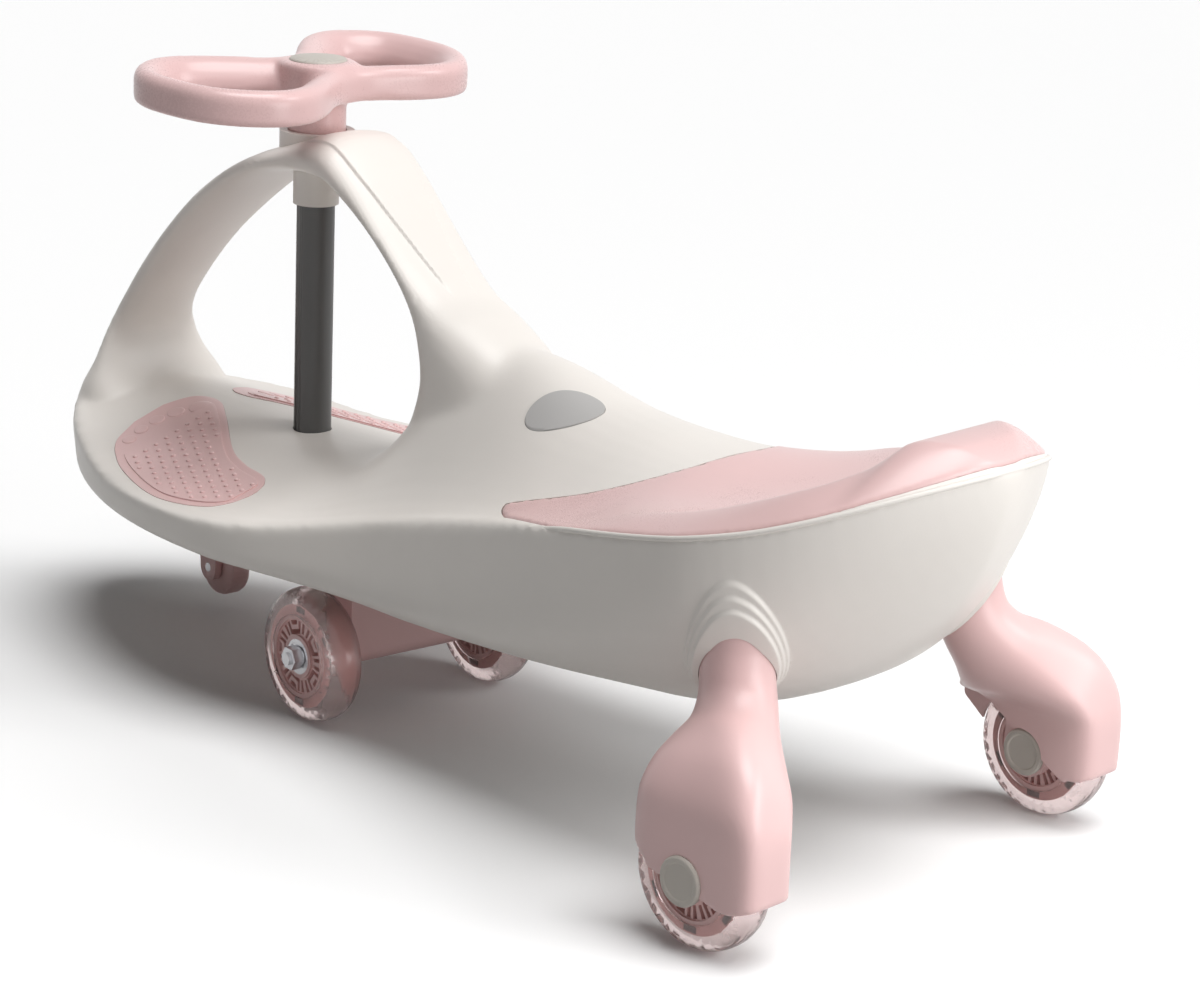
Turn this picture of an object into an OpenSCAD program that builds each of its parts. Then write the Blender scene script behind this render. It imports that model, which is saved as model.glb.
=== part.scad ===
// Wiggle car: a ride-on toy with a boat-shaped seat hull, a foot platform under an arch,
// a swinging front bracket on a steering column and two legs with fendered wheels.
// Millimetres. +X is forward, +Y is the car's left, +Z is up and the floor is z = 0.

/* [Layout] */
// Distance between the axles with the steering straight
wheel_base = 381; // [350:1:420]
// Distance from the front axle forward to the steering column
steer_trail = 102; // [88:1:112]
// Distance from the rear axle back to the tail of the hull
tail_overhang = 70; // [62:1:82]
// Distance from the column forward to the nose
nose_overhang = 201; // [190:1:225]
// Distance between the middles of the rear wheels
rear_track = 296; // [288:1:312]
// Distance between the middles of the front wheels
front_track = 134; // [124:1:150]
// Angle by which the steering stands turned to the right
steer_turn = 7; // [0:1:30]

/* [Body] */
// Width of the hull over the seat
seat_w = 262; // [250:1:280]
// Width of the waist between seat and platform
waist_w = 200; // [180:1:230]
// Width of the foot platform
platform_w = 268; // [250:1:290]
// Height of the rim at the tail
tail_z = 251; // [240:1:262]
// Height of the rim beside the seat
seat_z = 218; // [205:1:228]
// Height of the platform edge
platform_z = 126; // [118:1:136]
// Height of the platform ridge at the column
deck_z = 152; // [146:1:162]
// Height of the rim at the nose
nose_z = 148; // [142:1:158]
// Height of the lower edge of the skirt
skirt_z = 96; // [94:1:102]
// Height of the hull's belly
belly_z = 88; // [84:1:94]
// Height of the saddle in front of the seat
saddle_z = 242; // [232:1:254]
// Height of the arch above the collar
arch_rise = 4; // [0:1:12]
// Wall of the hollow platform
shell_wall = 4; // [3:0.5:6]

/* [Seat] */
// Thickness of the seat pad
pad_t = 6; // [4:0.5:9]
// Width of the rim left around the pad
pad_margin = 4; // [3:0.5:8]
// Thickness of the foot pads
foot_t = 4; // [3:0.5:6]
// Height of the nubs on the foot pads
nub_h = 1.2; // [0.8:0.1:2]

/* [Steering] */
// Diameter of the column tube
column_d = 24; // [20:0.5:28]
// Wall of the column tube
column_wall = 2; // [1.5:0.1:3]
// Wall of the head and deck bushes
bush_wall = 2.4; // [2:0.1:4]
// Length of the head bush below its collar
head_len = 28; // [24:1:36]
// Height of the collar on the arch
collar_z = 340; // [332:1:352]
// Diameter of the steering wheel's neck
neck_d = 36; // [33:0.5:40]
// Height of the top of the steering wheel's hub above the collar
hub_rise = 48; // [42:1:60]
// Length of the steering wheel over both loops
hand_len = 236; // [220:1:250]
// Depth of each loop
loop_depth = 100; // [90:1:108]
// Width of the loop's rim
rim_w = 23; // [19:0.5:26]
// Height of the loop's rim
rim_h = 27; // [22:0.5:30]
// Angle by which the loops sweep forward
hand_sweep = 8; // [0:1:10]
// Diameter of the centre cap
cap_d = 36; // [30:1:40]

/* [Wheels] */
// Diameter of the tyres
wheel_d = 84; // [80:1:88]
// Width of the tyres
tyre_w = 24; // [20:0.5:26]
// Diameter of the ring on the face of the core
ring_d = 52; // [48:0.5:56]
// Diameter of the flange of the core inside the tyre
flange_d = 64; // [60:0.5:68]
// Diameter of the axles
axle_d = 8; // [6:0.5:10]
// Outer diameter of the ball bearings
bearing_od = 22; // [20:0.5:24]
// Width of the ball bearings
bearing_w = 7; // [5:0.5:8]
// Number of light modules in each tyre
led_count = 6; // [4:1:8]
// Number of spoke figures on each core
spoke_count = 5; // [4:1:6]
// Diameter of the anti-tip roller
roller_d = 40; // [34:1:44]
// Width of the anti-tip roller
roller_w = 16; // [12:1:20]
// Height of the roller above the floor
roller_lift = 13; // [8:1:20]

/* [Legs] */
// Reach of the fender outward from the wheel's middle
fender_out = 18; // [17:0.5:21]
// Reach of the fender inward from the wheel's middle
fender_in = 25; // [22:0.5:28]
// Room between the tyre and the fender
wheel_room = 2.5; // [2:0.5:4]
// Diameter of the hub caps
hubcap_d = 28; // [25:0.5:31]
// Diameter of the leg where it enters the hull
root_d = 40; // [36:1:42]
// Height of the top of the leg's plug in the hull
root_top = 188; // [180:1:194]

/* [Fits] */
// Running clearance of shafts, all around
run_fit = 0.05; // [0.02:0.01:0.1]
// Seat clearance between fixed parts, all around
seat_fit = 0.15; // [0.1:0.05:0.3]
// Gap between parts that move past each other
move_gap = 0.5; // [0.3:0.1:2]

/* [Hidden] */
tail_x = -(tail_overhang + wheel_base + steer_trail + nose_overhang) / 2;
rear_x = tail_x + tail_overhang;
column_x = rear_x + wheel_base + steer_trail;
nose_x = column_x + nose_overhang;
wheel_r = wheel_d / 2;
axle_z = wheel_r;
axle_r = axle_d / 2;
column_r = column_d / 2;
bush_r = column_r + bush_wall;
collar_r = neck_d / 2 + 3;
collar_h = 14;
collar_floor = 6;
head_z = collar_z - collar_h;
arch_z = collar_z + arch_rise;
hub_z = collar_z + hub_rise;
bush_flange_z = skirt_z + 1;
bracket_top = bush_flange_z - move_gap;
seat_x = rear_x + 54;
waist_x = rear_x + 310;
plat_x = column_x - 28;
keel_x = rear_x + 95;
crest_rear_x = rear_x - 28;
crest_front_x = rear_x + 150;
rear_y = rear_track / 2;
front_y = front_track / 2;
core_w = tyre_w - 2;
flange_w = tyre_w / 2 + 1;
hub_r = bearing_od / 2 + 2.6;
bracket_half = front_y - tyre_w / 2 - 4;
outer_y = rear_y + fender_out;
pocket_half = tyre_w / 2 + 1.5;
nut_af = axle_d * 1.625;

function mix(a, b, t) = a + (b - a) * t;
function unit(t) = max(0, min(1, t));
function ease(t) = let (u = unit(t)) u * u * (3 - 2 * u);
function spow(v, n) = sign(v) * pow(abs(v), n);

// Smooth curve through knots given as [position, value]
function slope(k, i) = let (a = max(0, i - 1), b = min(len(k) - 1, i + 1))
    (k[b][1] - k[a][1]) / (k[b][0] - k[a][0]);
function span(k, x, i = 0) = (i >= len(k) - 2 || x < k[i + 1][0]) ? i : span(k, x, i + 1);
function curve(k, x) = let (
    i = span(k, x),
    h = k[i + 1][0] - k[i][0],
    t = unit((x - k[i][0]) / h),
    a = slope(k, i) * h,
    b = slope(k, i + 1) * h)
    (2 * t * t * t - 3 * t * t + 1) * k[i][1] + (t * t * t - 2 * t * t + t) * a
    + (3 * t * t - 2 * t * t * t) * k[i + 1][1] + (t * t * t - t * t) * b;

// Closed skin over a list of rings with the same number of points
module skin(rings) {
    n = len(rings[0]);
    m = len(rings);
    ends = [for (r = [rings[0], rings[m - 1]]) [for (c = [0 : 2]) ([for (p = r) 1] * [for (p = r) p[c]]) / n]];
    points = concat([for (r = rings) for (p = r) p], ends);
    sides = [for (i = [0 : m - 2]) for (j = [0 : n - 1])
        let (a = i * n + j, b = i * n + (j + 1) % n, c = a + n, d = b + n)
        each [[a, b, d], [a, d, c]]];
    first = [for (j = [0 : n - 1]) [m * n, (j + 1) % n, j]];
    last = [for (j = [0 : n - 1]) [m * n + 1, (m - 1) * n + j, (m - 1) * n + (j + 1) % n]];
    polyhedron(points, concat(sides, first, last));
}

// Outline of the body seen from above: half width at x
function half_w(x) =
    x < seat_x ? seat_w / 2 * pow(max(0, 1 - pow((seat_x - x) / (seat_x - tail_x), 1.7)), 1 / 1.7)
    : x < waist_x ? mix(seat_w, waist_w, ease((x - seat_x) / (waist_x - seat_x))) / 2
    : x < plat_x ? mix(waist_w, platform_w, ease((x - waist_x) / (plat_x - waist_x))) / 2
    : platform_w / 2 * pow(max(0, 1 - pow((x - plat_x) / (nose_x - plat_x), 1.8)), 1 / 1.8);

// Height of the rim, where the deck meets the side wall
function rim_z(x) = curve([
    [tail_x, tail_z],
    [rear_x + 15, seat_z],
    [rear_x + 198, mix(platform_z, seat_z, 0.58)],
    [column_x - 100, platform_z + 8],
    [column_x - 12, platform_z],
    [column_x + 65, platform_z + 1],
    [column_x + 130, nose_z - 9],
    [nose_x, nose_z]], x);

// Height of the middle of the underside
function keel_z(x) = x < keel_x
    ? mix(tail_z, belly_z, pow(max(0, 1 - pow((keel_x - x) / (keel_x - tail_x), 1.84)), 1 / 1.84))
    : mix(belly_z, skirt_z, ease((x - rear_x - 280) / (wheel_base - 241)));

// Squareness of the hull section and its flare below the rim
function bilge(x) = x < rear_x + 60
    ? mix(1.45, 2.6, ease((x - tail_x) / (60 + tail_overhang)))
    : mix(2.6, 9, ease((x - rear_x - 60) / (wheel_base - 9)));
function flare(x) = curve([
    [tail_x, 0],
    [rear_x + 60, 0],
    [waist_x - 20, 13],
    [plat_x - 50, 0],
    [plat_x + 10, -8],
    [nose_x, -8]], x);

// Middle line of the deck from the seat tongue over the saddle to the nose
function ridge_z(x) = curve([
    [rear_x + 80, seat_z - 14],
    [rear_x + 126, seat_z - 3],
    [rear_x + 205, mix(seat_z, saddle_z, 0.3)],
    [rear_x + 268, saddle_z],
    [column_x - 168, saddle_z - 2],
    [column_x - 138, mix(deck_z, saddle_z, 0.7)],
    [column_x - 112, mix(deck_z, saddle_z, 0.33)],
    [column_x - 86, deck_z + 8],
    [column_x - 44, deck_z + 1],
    [column_x, deck_z],
    [column_x + 88, deck_z + 3],
    [column_x + 126, deck_z + 4],
    [column_x + 160, nose_z + 8],
    [nose_x, nose_z + 1]], x);

// Crest line of the seat, as a share of the half width and as a height
function crest_v(x) = let (t = unit((crest_front_x - x) / (crest_front_x - crest_rear_x)))
    max(0.05, min(0.9, seat_w * 0.4 * pow(1 - pow(t, 4), 0.4) / max(1, half_w(x))));
function crest_z(x) = curve([
    [tail_x, tail_z],
    [tail_x + 9, tail_z + 8],
    [tail_x + 22, tail_z + 13],
    [crest_rear_x, tail_z + 11],
    [crest_rear_x + 10, mix(seat_z, tail_z, 0.95)],
    [rear_x + 10, mix(seat_z, tail_z, 0.52)],
    [rear_x + 55, seat_z],
    [rear_x + 100, seat_z - 12],
    [crest_front_x, seat_z - 27]], x);
function dish_z(x) = curve([
    [crest_rear_x, tail_z + 11],
    [rear_x - 8, mix(seat_z, tail_z, 0.6)],
    [rear_x + 25, seat_z - 2],
    [rear_x + 70, seat_z - 12],
    [rear_x + 126, seat_z - 4]], x);

// Finished height of the deck at x and at a share v of the half width
function dish(x, v) = let (c = crest_v(x), r = rim_z(x), k = crest_z(x))
    v >= c ? r + (k - r) * sin(90 * (1 - v) / (1 - c)) : mix(dish_z(x), k, pow(v / c, 2));
function bell(x, v) = rim_z(x) + (ridge_z(x) - rim_z(x)) * (1 + cos(180 * v)) / 2;
function deck(x, v) = let (t = ease((x - rear_x - 90) / 80))
    t <= 0 ? dish(x, v) : t >= 1 ? bell(x, v) : mix(dish(x, v), bell(x, v), t);
function deck_at(x, y) = deck(x, min(1, abs(y) / max(1, half_w(x))));

// Shares of the half width at which the deck is drawn, from the middle to the rim
function shares(x) = let (c = crest_v(x)) concat(
    [for (j = [0 : 3]) c * j / 4],
    [for (j = [0 : 3]) mix(c, 1, j / 3)]);

function mirrored(half) = concat(half,
    [for (i = [len(half) - 2 : -1 : 1]) [half[i][0], -half[i][1], half[i][2]]]);

function body_ring(x, grow = 0) = let (
    w = half_w(x) + grow,
    r = rim_z(x),
    k = keel_z(x) - grow,
    n = bilge(x),
    f = flare(x) * w / platform_w * 2)
    mirrored(concat(
        [for (v = shares(x)) [x, v * w, deck(x, v)]],
        [for (j = [1 : 6]) let (c = pow(cos(15 * j), 2 / n), s = pow(sin(15 * j), 2 / n))
            [x, j == 6 ? 0 : (w + f * s) * c, mix(r, k, s)]]));

function hollow_ring(x) = let (w = half_w(x) - shell_wall * 1.3, f = min(0, flare(x)))
    mirrored(concat(
        [for (v = shares(x)) [x, v * w, deck(x, v) - shell_wall * 1.2]],
        [[x, w + f * w / platform_w * 2, skirt_z - 12], [x, 0, skirt_z - 12]]));

stations = concat(
    [for (i = [0 : 7]) tail_x + 0.4 + (seat_x - tail_x) * (1 - cos(90 * i / 8))],
    [for (i = [0 : 8]) mix(seat_x, waist_x, i / 9)],
    [for (i = [0 : 8]) mix(waist_x, plat_x, i / 9)],
    [for (i = [0 : 8]) plat_x + (nose_x - 0.4 - plat_x) * sin(90 * i / 8)]);
hollows = concat(
    [for (i = [0 : 6]) mix(column_x - 120, plat_x, i / 7)],
    [for (i = [0 : 8]) plat_x + (nose_x - shell_wall * 4 - plat_x) * sin(90 * i / 8)]);

// Arch from nose to saddle: inner point, outer point (both from the column) and half width
arch_sections = [
    [[112, 132], [180, 112], 58],
    [[138, 154], [182, 146], 54],
    [[154, 171], [180, 166], 46],
    [[158, 187], [175, 187], 37],
    [[148, 204], [164, 210], 31],
    [[127, 230], [143, 240], 30],
    [[103, 257], [116, 268], 32],
    [[73, 283], [84, 296], 35],
    [[45, 303], [53, 317], 36],
    [[20, 315], [26, 330], 37],
    [[0, 320], [2, 337], 38],
    [[-20, 321], [-20, 344], 38],
    [[-40, 318], [-44, 343], 37],
    [[-58, 309], [-68, 327], 35],
    [[-78, 296], [-92, 304], 33],
    [[-98, 277], [-117, 280], 32],
    [[-114, 254], [-138, 265], 33],
    [[-121, 230], [-164, 255], 37],
    [[-119, 206], [-198, 236], 40],
    [[-107, 178], [-220, 212], 42],
    [[-92, 152], [-236, 182], 42]];
function lifted(q) = [column_x + q[0], 0, q[1] + (arch_z - 344) * unit((q[1] - 160) / 150)];
function arch_ring(s) = let (a = lifted(s[0]), b = lifted(s[1]), m = (a + b) / 2)
    [for (j = [0 : 11]) m + (b - m) * spow(cos(30 * j), 0.85) - [0, s[2] * spow(sin(30 * j), 0.85), 0]];

module boat() {
    skin([for (x = stations) body_ring(x)]);
}

module arch() {
    skin([for (s = arch_sections) arch_ring(s)]);
}

// Rib under the platform, from the boss of the column outward
module deck_rib(a) {
    reach = 70;
    x = column_x + reach * cos(a);
    y = reach * sin(a);
    translate([column_x, 0, 0])
        rotate([0, 0, a])
            hull() {
                translate([bush_r + 3, -1.5, skirt_z + 8])
                    cube([2, 3, deck_z - skirt_z - 14]);
                translate([reach - 2, -1.5, skirt_z + 16])
                    cube([2, 3, deck_at(x, y) - skirt_z - 18]);
            }
}

// Closed slab between two grids of points that lie one above the other
module slab(high, low) {
    n = len(high[0]);
    m = len(high);
    k = n * m;
    points = concat([for (r = high) for (p = r) p], [for (r = low) for (p = r) p]);
    cells = [for (i = [0 : m - 2]) for (j = [0 : n - 2])
        let (a = i * n + j, b = a + 1, c = a + n, d = c + 1)
        each [[a, d, c], [a, b, d], [k + a, k + c, k + d], [k + a, k + d, k + b]]];
    edge = concat(
        [for (j = [0 : n - 2]) [j, j + 1]],
        [for (i = [0 : m - 2]) [i * n + n - 1, i * n + 2 * n - 1]],
        [for (j = [n - 1 : -1 : 1]) [(m - 1) * n + j, (m - 1) * n + j - 1]],
        [for (i = [m - 1 : -1 : 1]) [i * n, i * n - n]]);
    walls = [for (e = edge) each [[e[0], k + e[1], e[1]], [e[0], k + e[0], k + e[1]]]];
    polyhedron(points, concat(cells, walls));
}

// Seat pad as a grid: u runs from the tail to the front edge, v runs across
function pad_x(u, v, d) = mix(
    tail_x + pad_margin - d + 26 * pow(abs(v), 4),
    rear_x + 122 + 86 * pow(abs(v), 1.25) + d, u);
function pad_row(u, d, lift) = [for (j = [-7 : 7]) let (
    v = sign(j) * pow(abs(j) / 7, 0.8),
    x = pad_x(u, v, d),
    y = v * (half_w(x) - pad_margin + d))
    [x, y, deck_at(x, y) + lift]];
module pad_block(d, low, high) {
    slab([for (i = [0 : 12]) pad_row(i / 12, d, high)], [for (i = [0 : 12]) pad_row(i / 12, d, low)]);
}

// Foot pad: inner and outer edge along the foot, from the heel to the toes
function foot_in(x) = curve([[-45, 74], [-33, 67], [-10, 63], [15, 53], [57, 24], [80, 11], [98, 16], [106, 36]], x);
function foot_out(x) = curve([[-45, 96], [-33, 115], [-10, 120], [15, 119], [57, 106], [80, 95], [98, 80], [106, 60]], x);
function foot_row(i, side, d, lift) = let (x = mix(-45 - d, 106 + d, (1 - cos(180 * i / 12)) / 2))
    [for (j = [0 : 5]) let (y = mix(foot_in(x) - d, foot_out(x) + d, j / 5))
        [column_x + x, side * y, deck_at(column_x + x, y) + lift]];
module foot_block(side, d, low, high) {
    mirror([0, side < 0 ? 1 : 0, 0])
        slab([for (i = [0 : 12]) foot_row(i, 1, d, high)], [for (i = [0 : 12]) foot_row(i, 1, d, low)]);
}

// Badge: an oval lying on the left flank of the saddle
function badge_row(i, d, lift) = let (u = -cos(180 * (i + 0.25) / 12.5), s = sqrt(1 - u * u))
    [for (j = [-2 : 2]) let (
        x = rear_x + 232 + (23.5 + d) * u * cos(32) - (12.5 + d) * j / 2 * s * sin(32),
        y = 27 + (23.5 + d) * u * sin(32) + (12.5 + d) * j / 2 * s * cos(32))
        [x, y, deck_at(x, y) + lift]];
module badge_block(d, low, high) {
    slab([for (i = [0 : 12]) badge_row(i, d, high)], [for (i = [0 : 12]) badge_row(i, d, low)]);
}

// Leg from the upright plug to the fender. Each section: middle (from the axle, from the wheel's
// middle and from the floor), half length, half width, lean, sweep, roundness, slant of the front
root_x = rear_x + 29;
root_y = rear_y - 50;
root_r = root_d / 2;
screw_floor = root_top + 18;
fender_y = (fender_out - fender_in) / 2;
fender_half = (fender_out + fender_in) / 2;
leg_sections = [
    [[29, -50, 150], root_r, root_r, 0, 0, 1, 0],
    [[27, -49, 136], root_r + 0.5, root_r + 0.5, 8, 8, 1, 0],
    [[23, -46, 122], root_r + 2, root_r + 1, 24, 18, 1, 0],
    [[17, -38, 109], 26, 22.5, 38, 20, 0.95, 0],
    [[10, -27, 100], 32, 25, 42, 14, 0.8, 4],
    [[3, -15, 91], 38, fender_half + 4, 32, 7, 0.7, 9],
    [[-1, fender_y - 3, 80], 41, fender_half + 2.5, 16, 3, 0.6, 14],
    [[-3, fender_y, 66], 42, fender_half, 0, 0, 0.5, 18],
    [[-3, fender_y, 30], 42, fender_half, 0, 0, 0.5, 18]];
function leg_ring(i, grow) = let (
    s = leg_sections[i],
    low = i == len(leg_sections) - 1 ? 0.007 : 0)
    [for (j = [0 : 23]) let (
        u = (s[1] + grow) * spow(cos(15 * j), s[5]),
        v = (s[2] + grow) * spow(sin(15 * j), s[5]),
        x = s[0][0] + u * cos(s[4]) + v * sin(s[3]) * sin(s[4])
            + s[6] * (1 - v / s[2]) / 2 * unit((u + s[1]) / s[1] / 2),
        y = s[0][1] + v * cos(s[3]),
        z = s[0][2] - u * sin(s[4]) + v * sin(s[3]) * cos(s[4]))
        [rear_x + x, rear_y + y, z + low * pow(x + 16, 2)]];
module leg_skin(last, grow) {
    skin([for (i = [0 : last]) leg_ring(i, grow)]);
}
// Plug of the leg: round below, where it shows, and eight ribs with a lead-in above
rib_z = root_top - 18;
module root_socket(grow) {
    translate([root_x, root_y, 145])
        cylinder(r = root_r + grow, h = root_top + grow - 145, $fn = 40);
}
module root_plug() {
    translate([root_x, root_y, 145]) {
        cylinder(r = root_r, h = rib_z - 145, $fn = 40);
        cylinder(r = root_r - 4, h = root_top - 145, $fn = 24);
    }
    for (i = [0 : 7])
        translate([root_x, root_y, 0])
            rotate([0, 0, 45 * i])
                hull() {
                    translate([root_r - 6, -1.5, rib_z - 1])
                        cube([6, 3, root_top - rib_z - 5]);
                    translate([root_r - 6, -1.5, root_top - 2])
                        cube([4, 3, 2]);
                }
}
module both_sides() {
    for (side = [0, 1])
        mirror([0, side, 0])
            children();
}

module body_shell() {
    color([0.87, 0.84, 0.79])
        difference() {
            union() {
                difference() {
                    union() {
                        boat();
                        arch();
                    }
                    skin([for (x = hollows) hollow_ring(x)]);
                }
                translate([column_x, 0, skirt_z + 4])
                    cylinder(r = bush_r + 5, h = deck_z - skirt_z - 8, $fn = 32);
                for (a = [0 : 45 : 315])
                    deck_rib(a);
                both_sides()
                    for (i = [1 : 3])
                        intersection() {
                            skin([for (x = [rear_x - 30 : 12 : rear_x + 90]) body_ring(x, 2.2 * i)]);
                            translate([root_x, root_y, 142])
                                scale([1, 1, 3.5])
                                    sphere(r = root_r + 10 - 2.4 * i, $fn = 32);
                        }
            }
            translate([column_x, 0, 0])
                cylinder(r = bush_r + seat_fit + 0.1, h = deck_z - 6, $fn = 48);
            translate([column_x, 0, 0])
                cylinder(r = column_r + move_gap, h = deck_z + 20, $fn = 48);
            translate([column_x, 0, head_z - head_len])
                cylinder(r = bush_r + seat_fit + 0.1, h = head_len + 60, $fn = 48);
            translate([column_x, 0, head_z - seat_fit])
                cylinder(r = collar_r + seat_fit + 0.1, h = 60, $fn = 48);
            pad_block(seat_fit, -pad_t - seat_fit, 40);
            for (side = [-1, 1])
                foot_block(side, seat_fit, -foot_t - seat_fit, 30);
            badge_block(seat_fit, -2 - seat_fit, 20);
            both_sides() {
                leg_skin(4, seat_fit + 0.15);
                root_socket(seat_fit + 0.1);
                translate([root_x, root_y, root_top - 5])
                    cylinder(r = 3 + seat_fit, h = 40, $fn = 32);
                translate([root_x, root_y, screw_floor])
                    cylinder(r = 7 + seat_fit, h = 30, $fn = 32);
            }
        }
}

module seat_pad() {
    color([0.93, 0.72, 0.73])
        pad_block(0, -pad_t, 0.8);
}

// Nubs and toe rings stand on the foot pads
module foot_pad(side) {
    color([0.93, 0.72, 0.73]) {
        foot_block(side, 0, -foot_t, 0.4);
        for (i = [0 : 5], j = [0 : 2]) {
            x = -30 + 19 * i;
            y = mix(foot_in(x) + 9, foot_out(x) - 9, (j + (i % 2) / 2) / 2.5);
            translate([column_x + x, side * y, deck_at(column_x + x, y)])
                hull() {
                    translate([0, 0, -1])
                        cylinder(r = 2, h = 1.4, $fn = 6);
                    cylinder(r = 1, h = 0.4 + nub_h, $fn = 6);
                }
        }
        for (t = [[96, 76, 4.5], [99, 64, 4.5], [98, 51, 5], [93, 39, 5.5], [82, 25, 8]])
            translate([column_x + t[0], side * t[1], deck_at(column_x + t[0], t[1]) - 1])
                difference() {
                    cylinder(r = t[2], h = 2.4, $fn = 12);
                    translate([0, 0, 1])
                        cylinder(r = t[2] - 1.2, h = 3, $fn = 12);
                }
    }
}
module foot_pad_left() {
    foot_pad(1);
}
module foot_pad_right() {
    foot_pad(-1);
}

module badge_plate() {
    color([0.55, 0.55, 0.54])
        badge_block(0, -2, 0.5);
}

// Bush in the arch: a sleeve below and a collar that takes the neck above
module head_bush() {
    neck_r = neck_d / 2 + move_gap;
    color([0.85, 0.82, 0.77])
        translate([column_x, 0, 0])
            rotate_extrude($fn = 96)
                polygon([
                    [column_r + run_fit, head_z - head_len],
                    [bush_r - 0.8, head_z - head_len],
                    [bush_r, head_z - head_len + 1.5],
                    [bush_r, head_z],
                    [collar_r, head_z],
                    [collar_r, collar_z - 1],
                    [collar_r - 1, collar_z],
                    [neck_r, collar_z],
                    [neck_r, collar_z - collar_floor],
                    [column_r + run_fit, collar_z - collar_floor]]);
}

// Bush in the platform: the body's weight rests on its flange
module deck_bush() {
    color([0.85, 0.82, 0.77])
        translate([column_x, 0, 0])
            rotate_extrude($fn = 96)
                polygon([
                    [column_r + run_fit, bush_flange_z],
                    [bush_r + 5, bush_flange_z],
                    [bush_r + 5, skirt_z + 4 - seat_fit],
                    [bush_r, skirt_z + 4 - seat_fit],
                    [bush_r, deck_z - 6.4],
                    [column_r + run_fit, deck_z - 6.4]]);
}

// Everything on the column stands turned by the steering angle
module steered() {
    translate([column_x, 0, 0])
        rotate([0, 0, -steer_turn])
            children();
}

socket_z = 58;
column_top = hub_z - 16;
module steering_column() {
    color([0.3, 0.3, 0.3])
        steered()
            difference() {
                translate([0, 0, socket_z + 4])
                    cylinder(r = column_r, h = column_top - socket_z - 4, $fn = 96);
                translate([0, 0, socket_z])
                    cylinder(r = column_r - column_wall, h = column_top - socket_z - 14, $fn = 96);
                translate([0, 0, column_top - 20])
                    cylinder(r = axle_r, h = 30, $fn = 48);
                translate([0, 0, socket_z + 18])
                    rotate([90, 0, 0])
                        cylinder(r = 3.1, h = column_d + 4, center = true, $fn = 32);
            }
}

module steering_bolt() {
    color([0.7, 0.7, 0.72])
        steered() {
            translate([0, 0, column_top - 16])
                cylinder(r = axle_r - seat_fit, h = 20.5, $fn = 48);
            translate([0, 0, column_top + 4.2])
                cylinder(r = 6.5, h = 5, $fn = 6);
        }
}

module column_pin() {
    color([0.7, 0.7, 0.72])
        steered()
            translate([0, 0, socket_z + 18])
                rotate([90, 0, 0])
                    cylinder(r = 3, h = 2 * (column_r + 7), center = true, $fn = 32);
}

// Steering wheel: two rims swept around oval loops, a bridge and a neck
loop_a = hand_len * 0.23 - rim_w / 2;
loop_b = loop_depth / 2 - rim_w / 2;
loop_mid = hand_len * 0.27;
rim_z0 = hub_z + 2 - rim_h / 2;
function loop_point(a) = let (c = spow(cos(a), 0.85), s = spow(sin(a), 0.9))
    [loop_mid + loop_a * c, loop_b * s * (1 + 0.12 * c)];
module rim_slice(a) {
    q = loop_point(a);
    r = loop_point(a + 1) - loop_point(a - 1);
    translate([q[0], q[1], rim_z0])
        rotate([0, 0, atan2(r[1], r[0])])
            rotate([90, 0, 90])
                linear_extrude(0.4, center = true)
                    polygon([for (k = [0 : 9])
                        [rim_w / 2 * spow(cos(36 * k), 0.75), rim_h / 2 * spow(sin(36 * k), 0.75)]]);
}
module hand_loop() {
    for (i = [0 : 17])
        hull() {
            rim_slice(20 * i);
            rim_slice(20 * i + 20);
        }
}
module steering_wheel() {
    color([0.93, 0.72, 0.73])
        steered()
            difference() {
                union() {
                    both_sides()
                        rotate([0, 0, 90 - hand_sweep])
                            hand_loop();
                    hull() {
                        for (s = [-1, 1], i = [0, 1])
                            translate([s * (loop_depth * 0.32 - rim_w / 2), 0, rim_z0])
                                cylinder(r = rim_w / 2 - 3 * i, h = rim_h - 6 + 6 * i, center = true, $fn = 24);
                        translate([0, 0, hub_z - 8])
                            cylinder(r = cap_d / 2 + 2.5, h = 9, $fn = 40);
                    }
                    translate([0, 0, collar_z - collar_floor + move_gap])
                        cylinder(r = neck_d / 2, h = hub_z - collar_z - 4, $fn = 64);
                }
                translate([0, 0, collar_z - 20])
                    cylinder(r = column_r + seat_fit + 0.1, h = column_top - collar_z + 20.2, $fn = 64);
                translate([0, 0, column_top])
                    cylinder(r = axle_r + seat_fit, h = 30, $fn = 48);
                translate([0, 0, column_top + 4])
                    cylinder(r = 9, h = 30, $fn = 48);
                translate([0, 0, hub_z - 3])
                    cylinder(r = cap_d / 2 + seat_fit, h = 30, $fn = 64);
            }
}

module steering_cap() {
    color([0.72, 0.71, 0.68])
        steered()
            translate([0, 0, hub_z - 3 + seat_fit])
                rotate_extrude($fn = 96)
                    polygon([
                        [0, 0], [cap_d / 2, 0], [cap_d / 2, 3.6], [cap_d / 2 - 1, 4.6],
                        [cap_d / 4, 5.6], [0, 6]]);
}

// Swinging bracket: hub on the column, block for the front axle, arm with the roller's fork
roller_x = steer_trail - 2;
roller_z = roller_lift + roller_d / 2;
block_low = axle_z - axle_r - 3;
// The plate swings under the belly, so its top stays below the keel at its furthest corner
bracket_reach = norm([steer_trail + 18, bracket_half]);
plate_top = min(bracket_top - 3, keel_z(column_x - bracket_reach) - move_gap);

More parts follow.
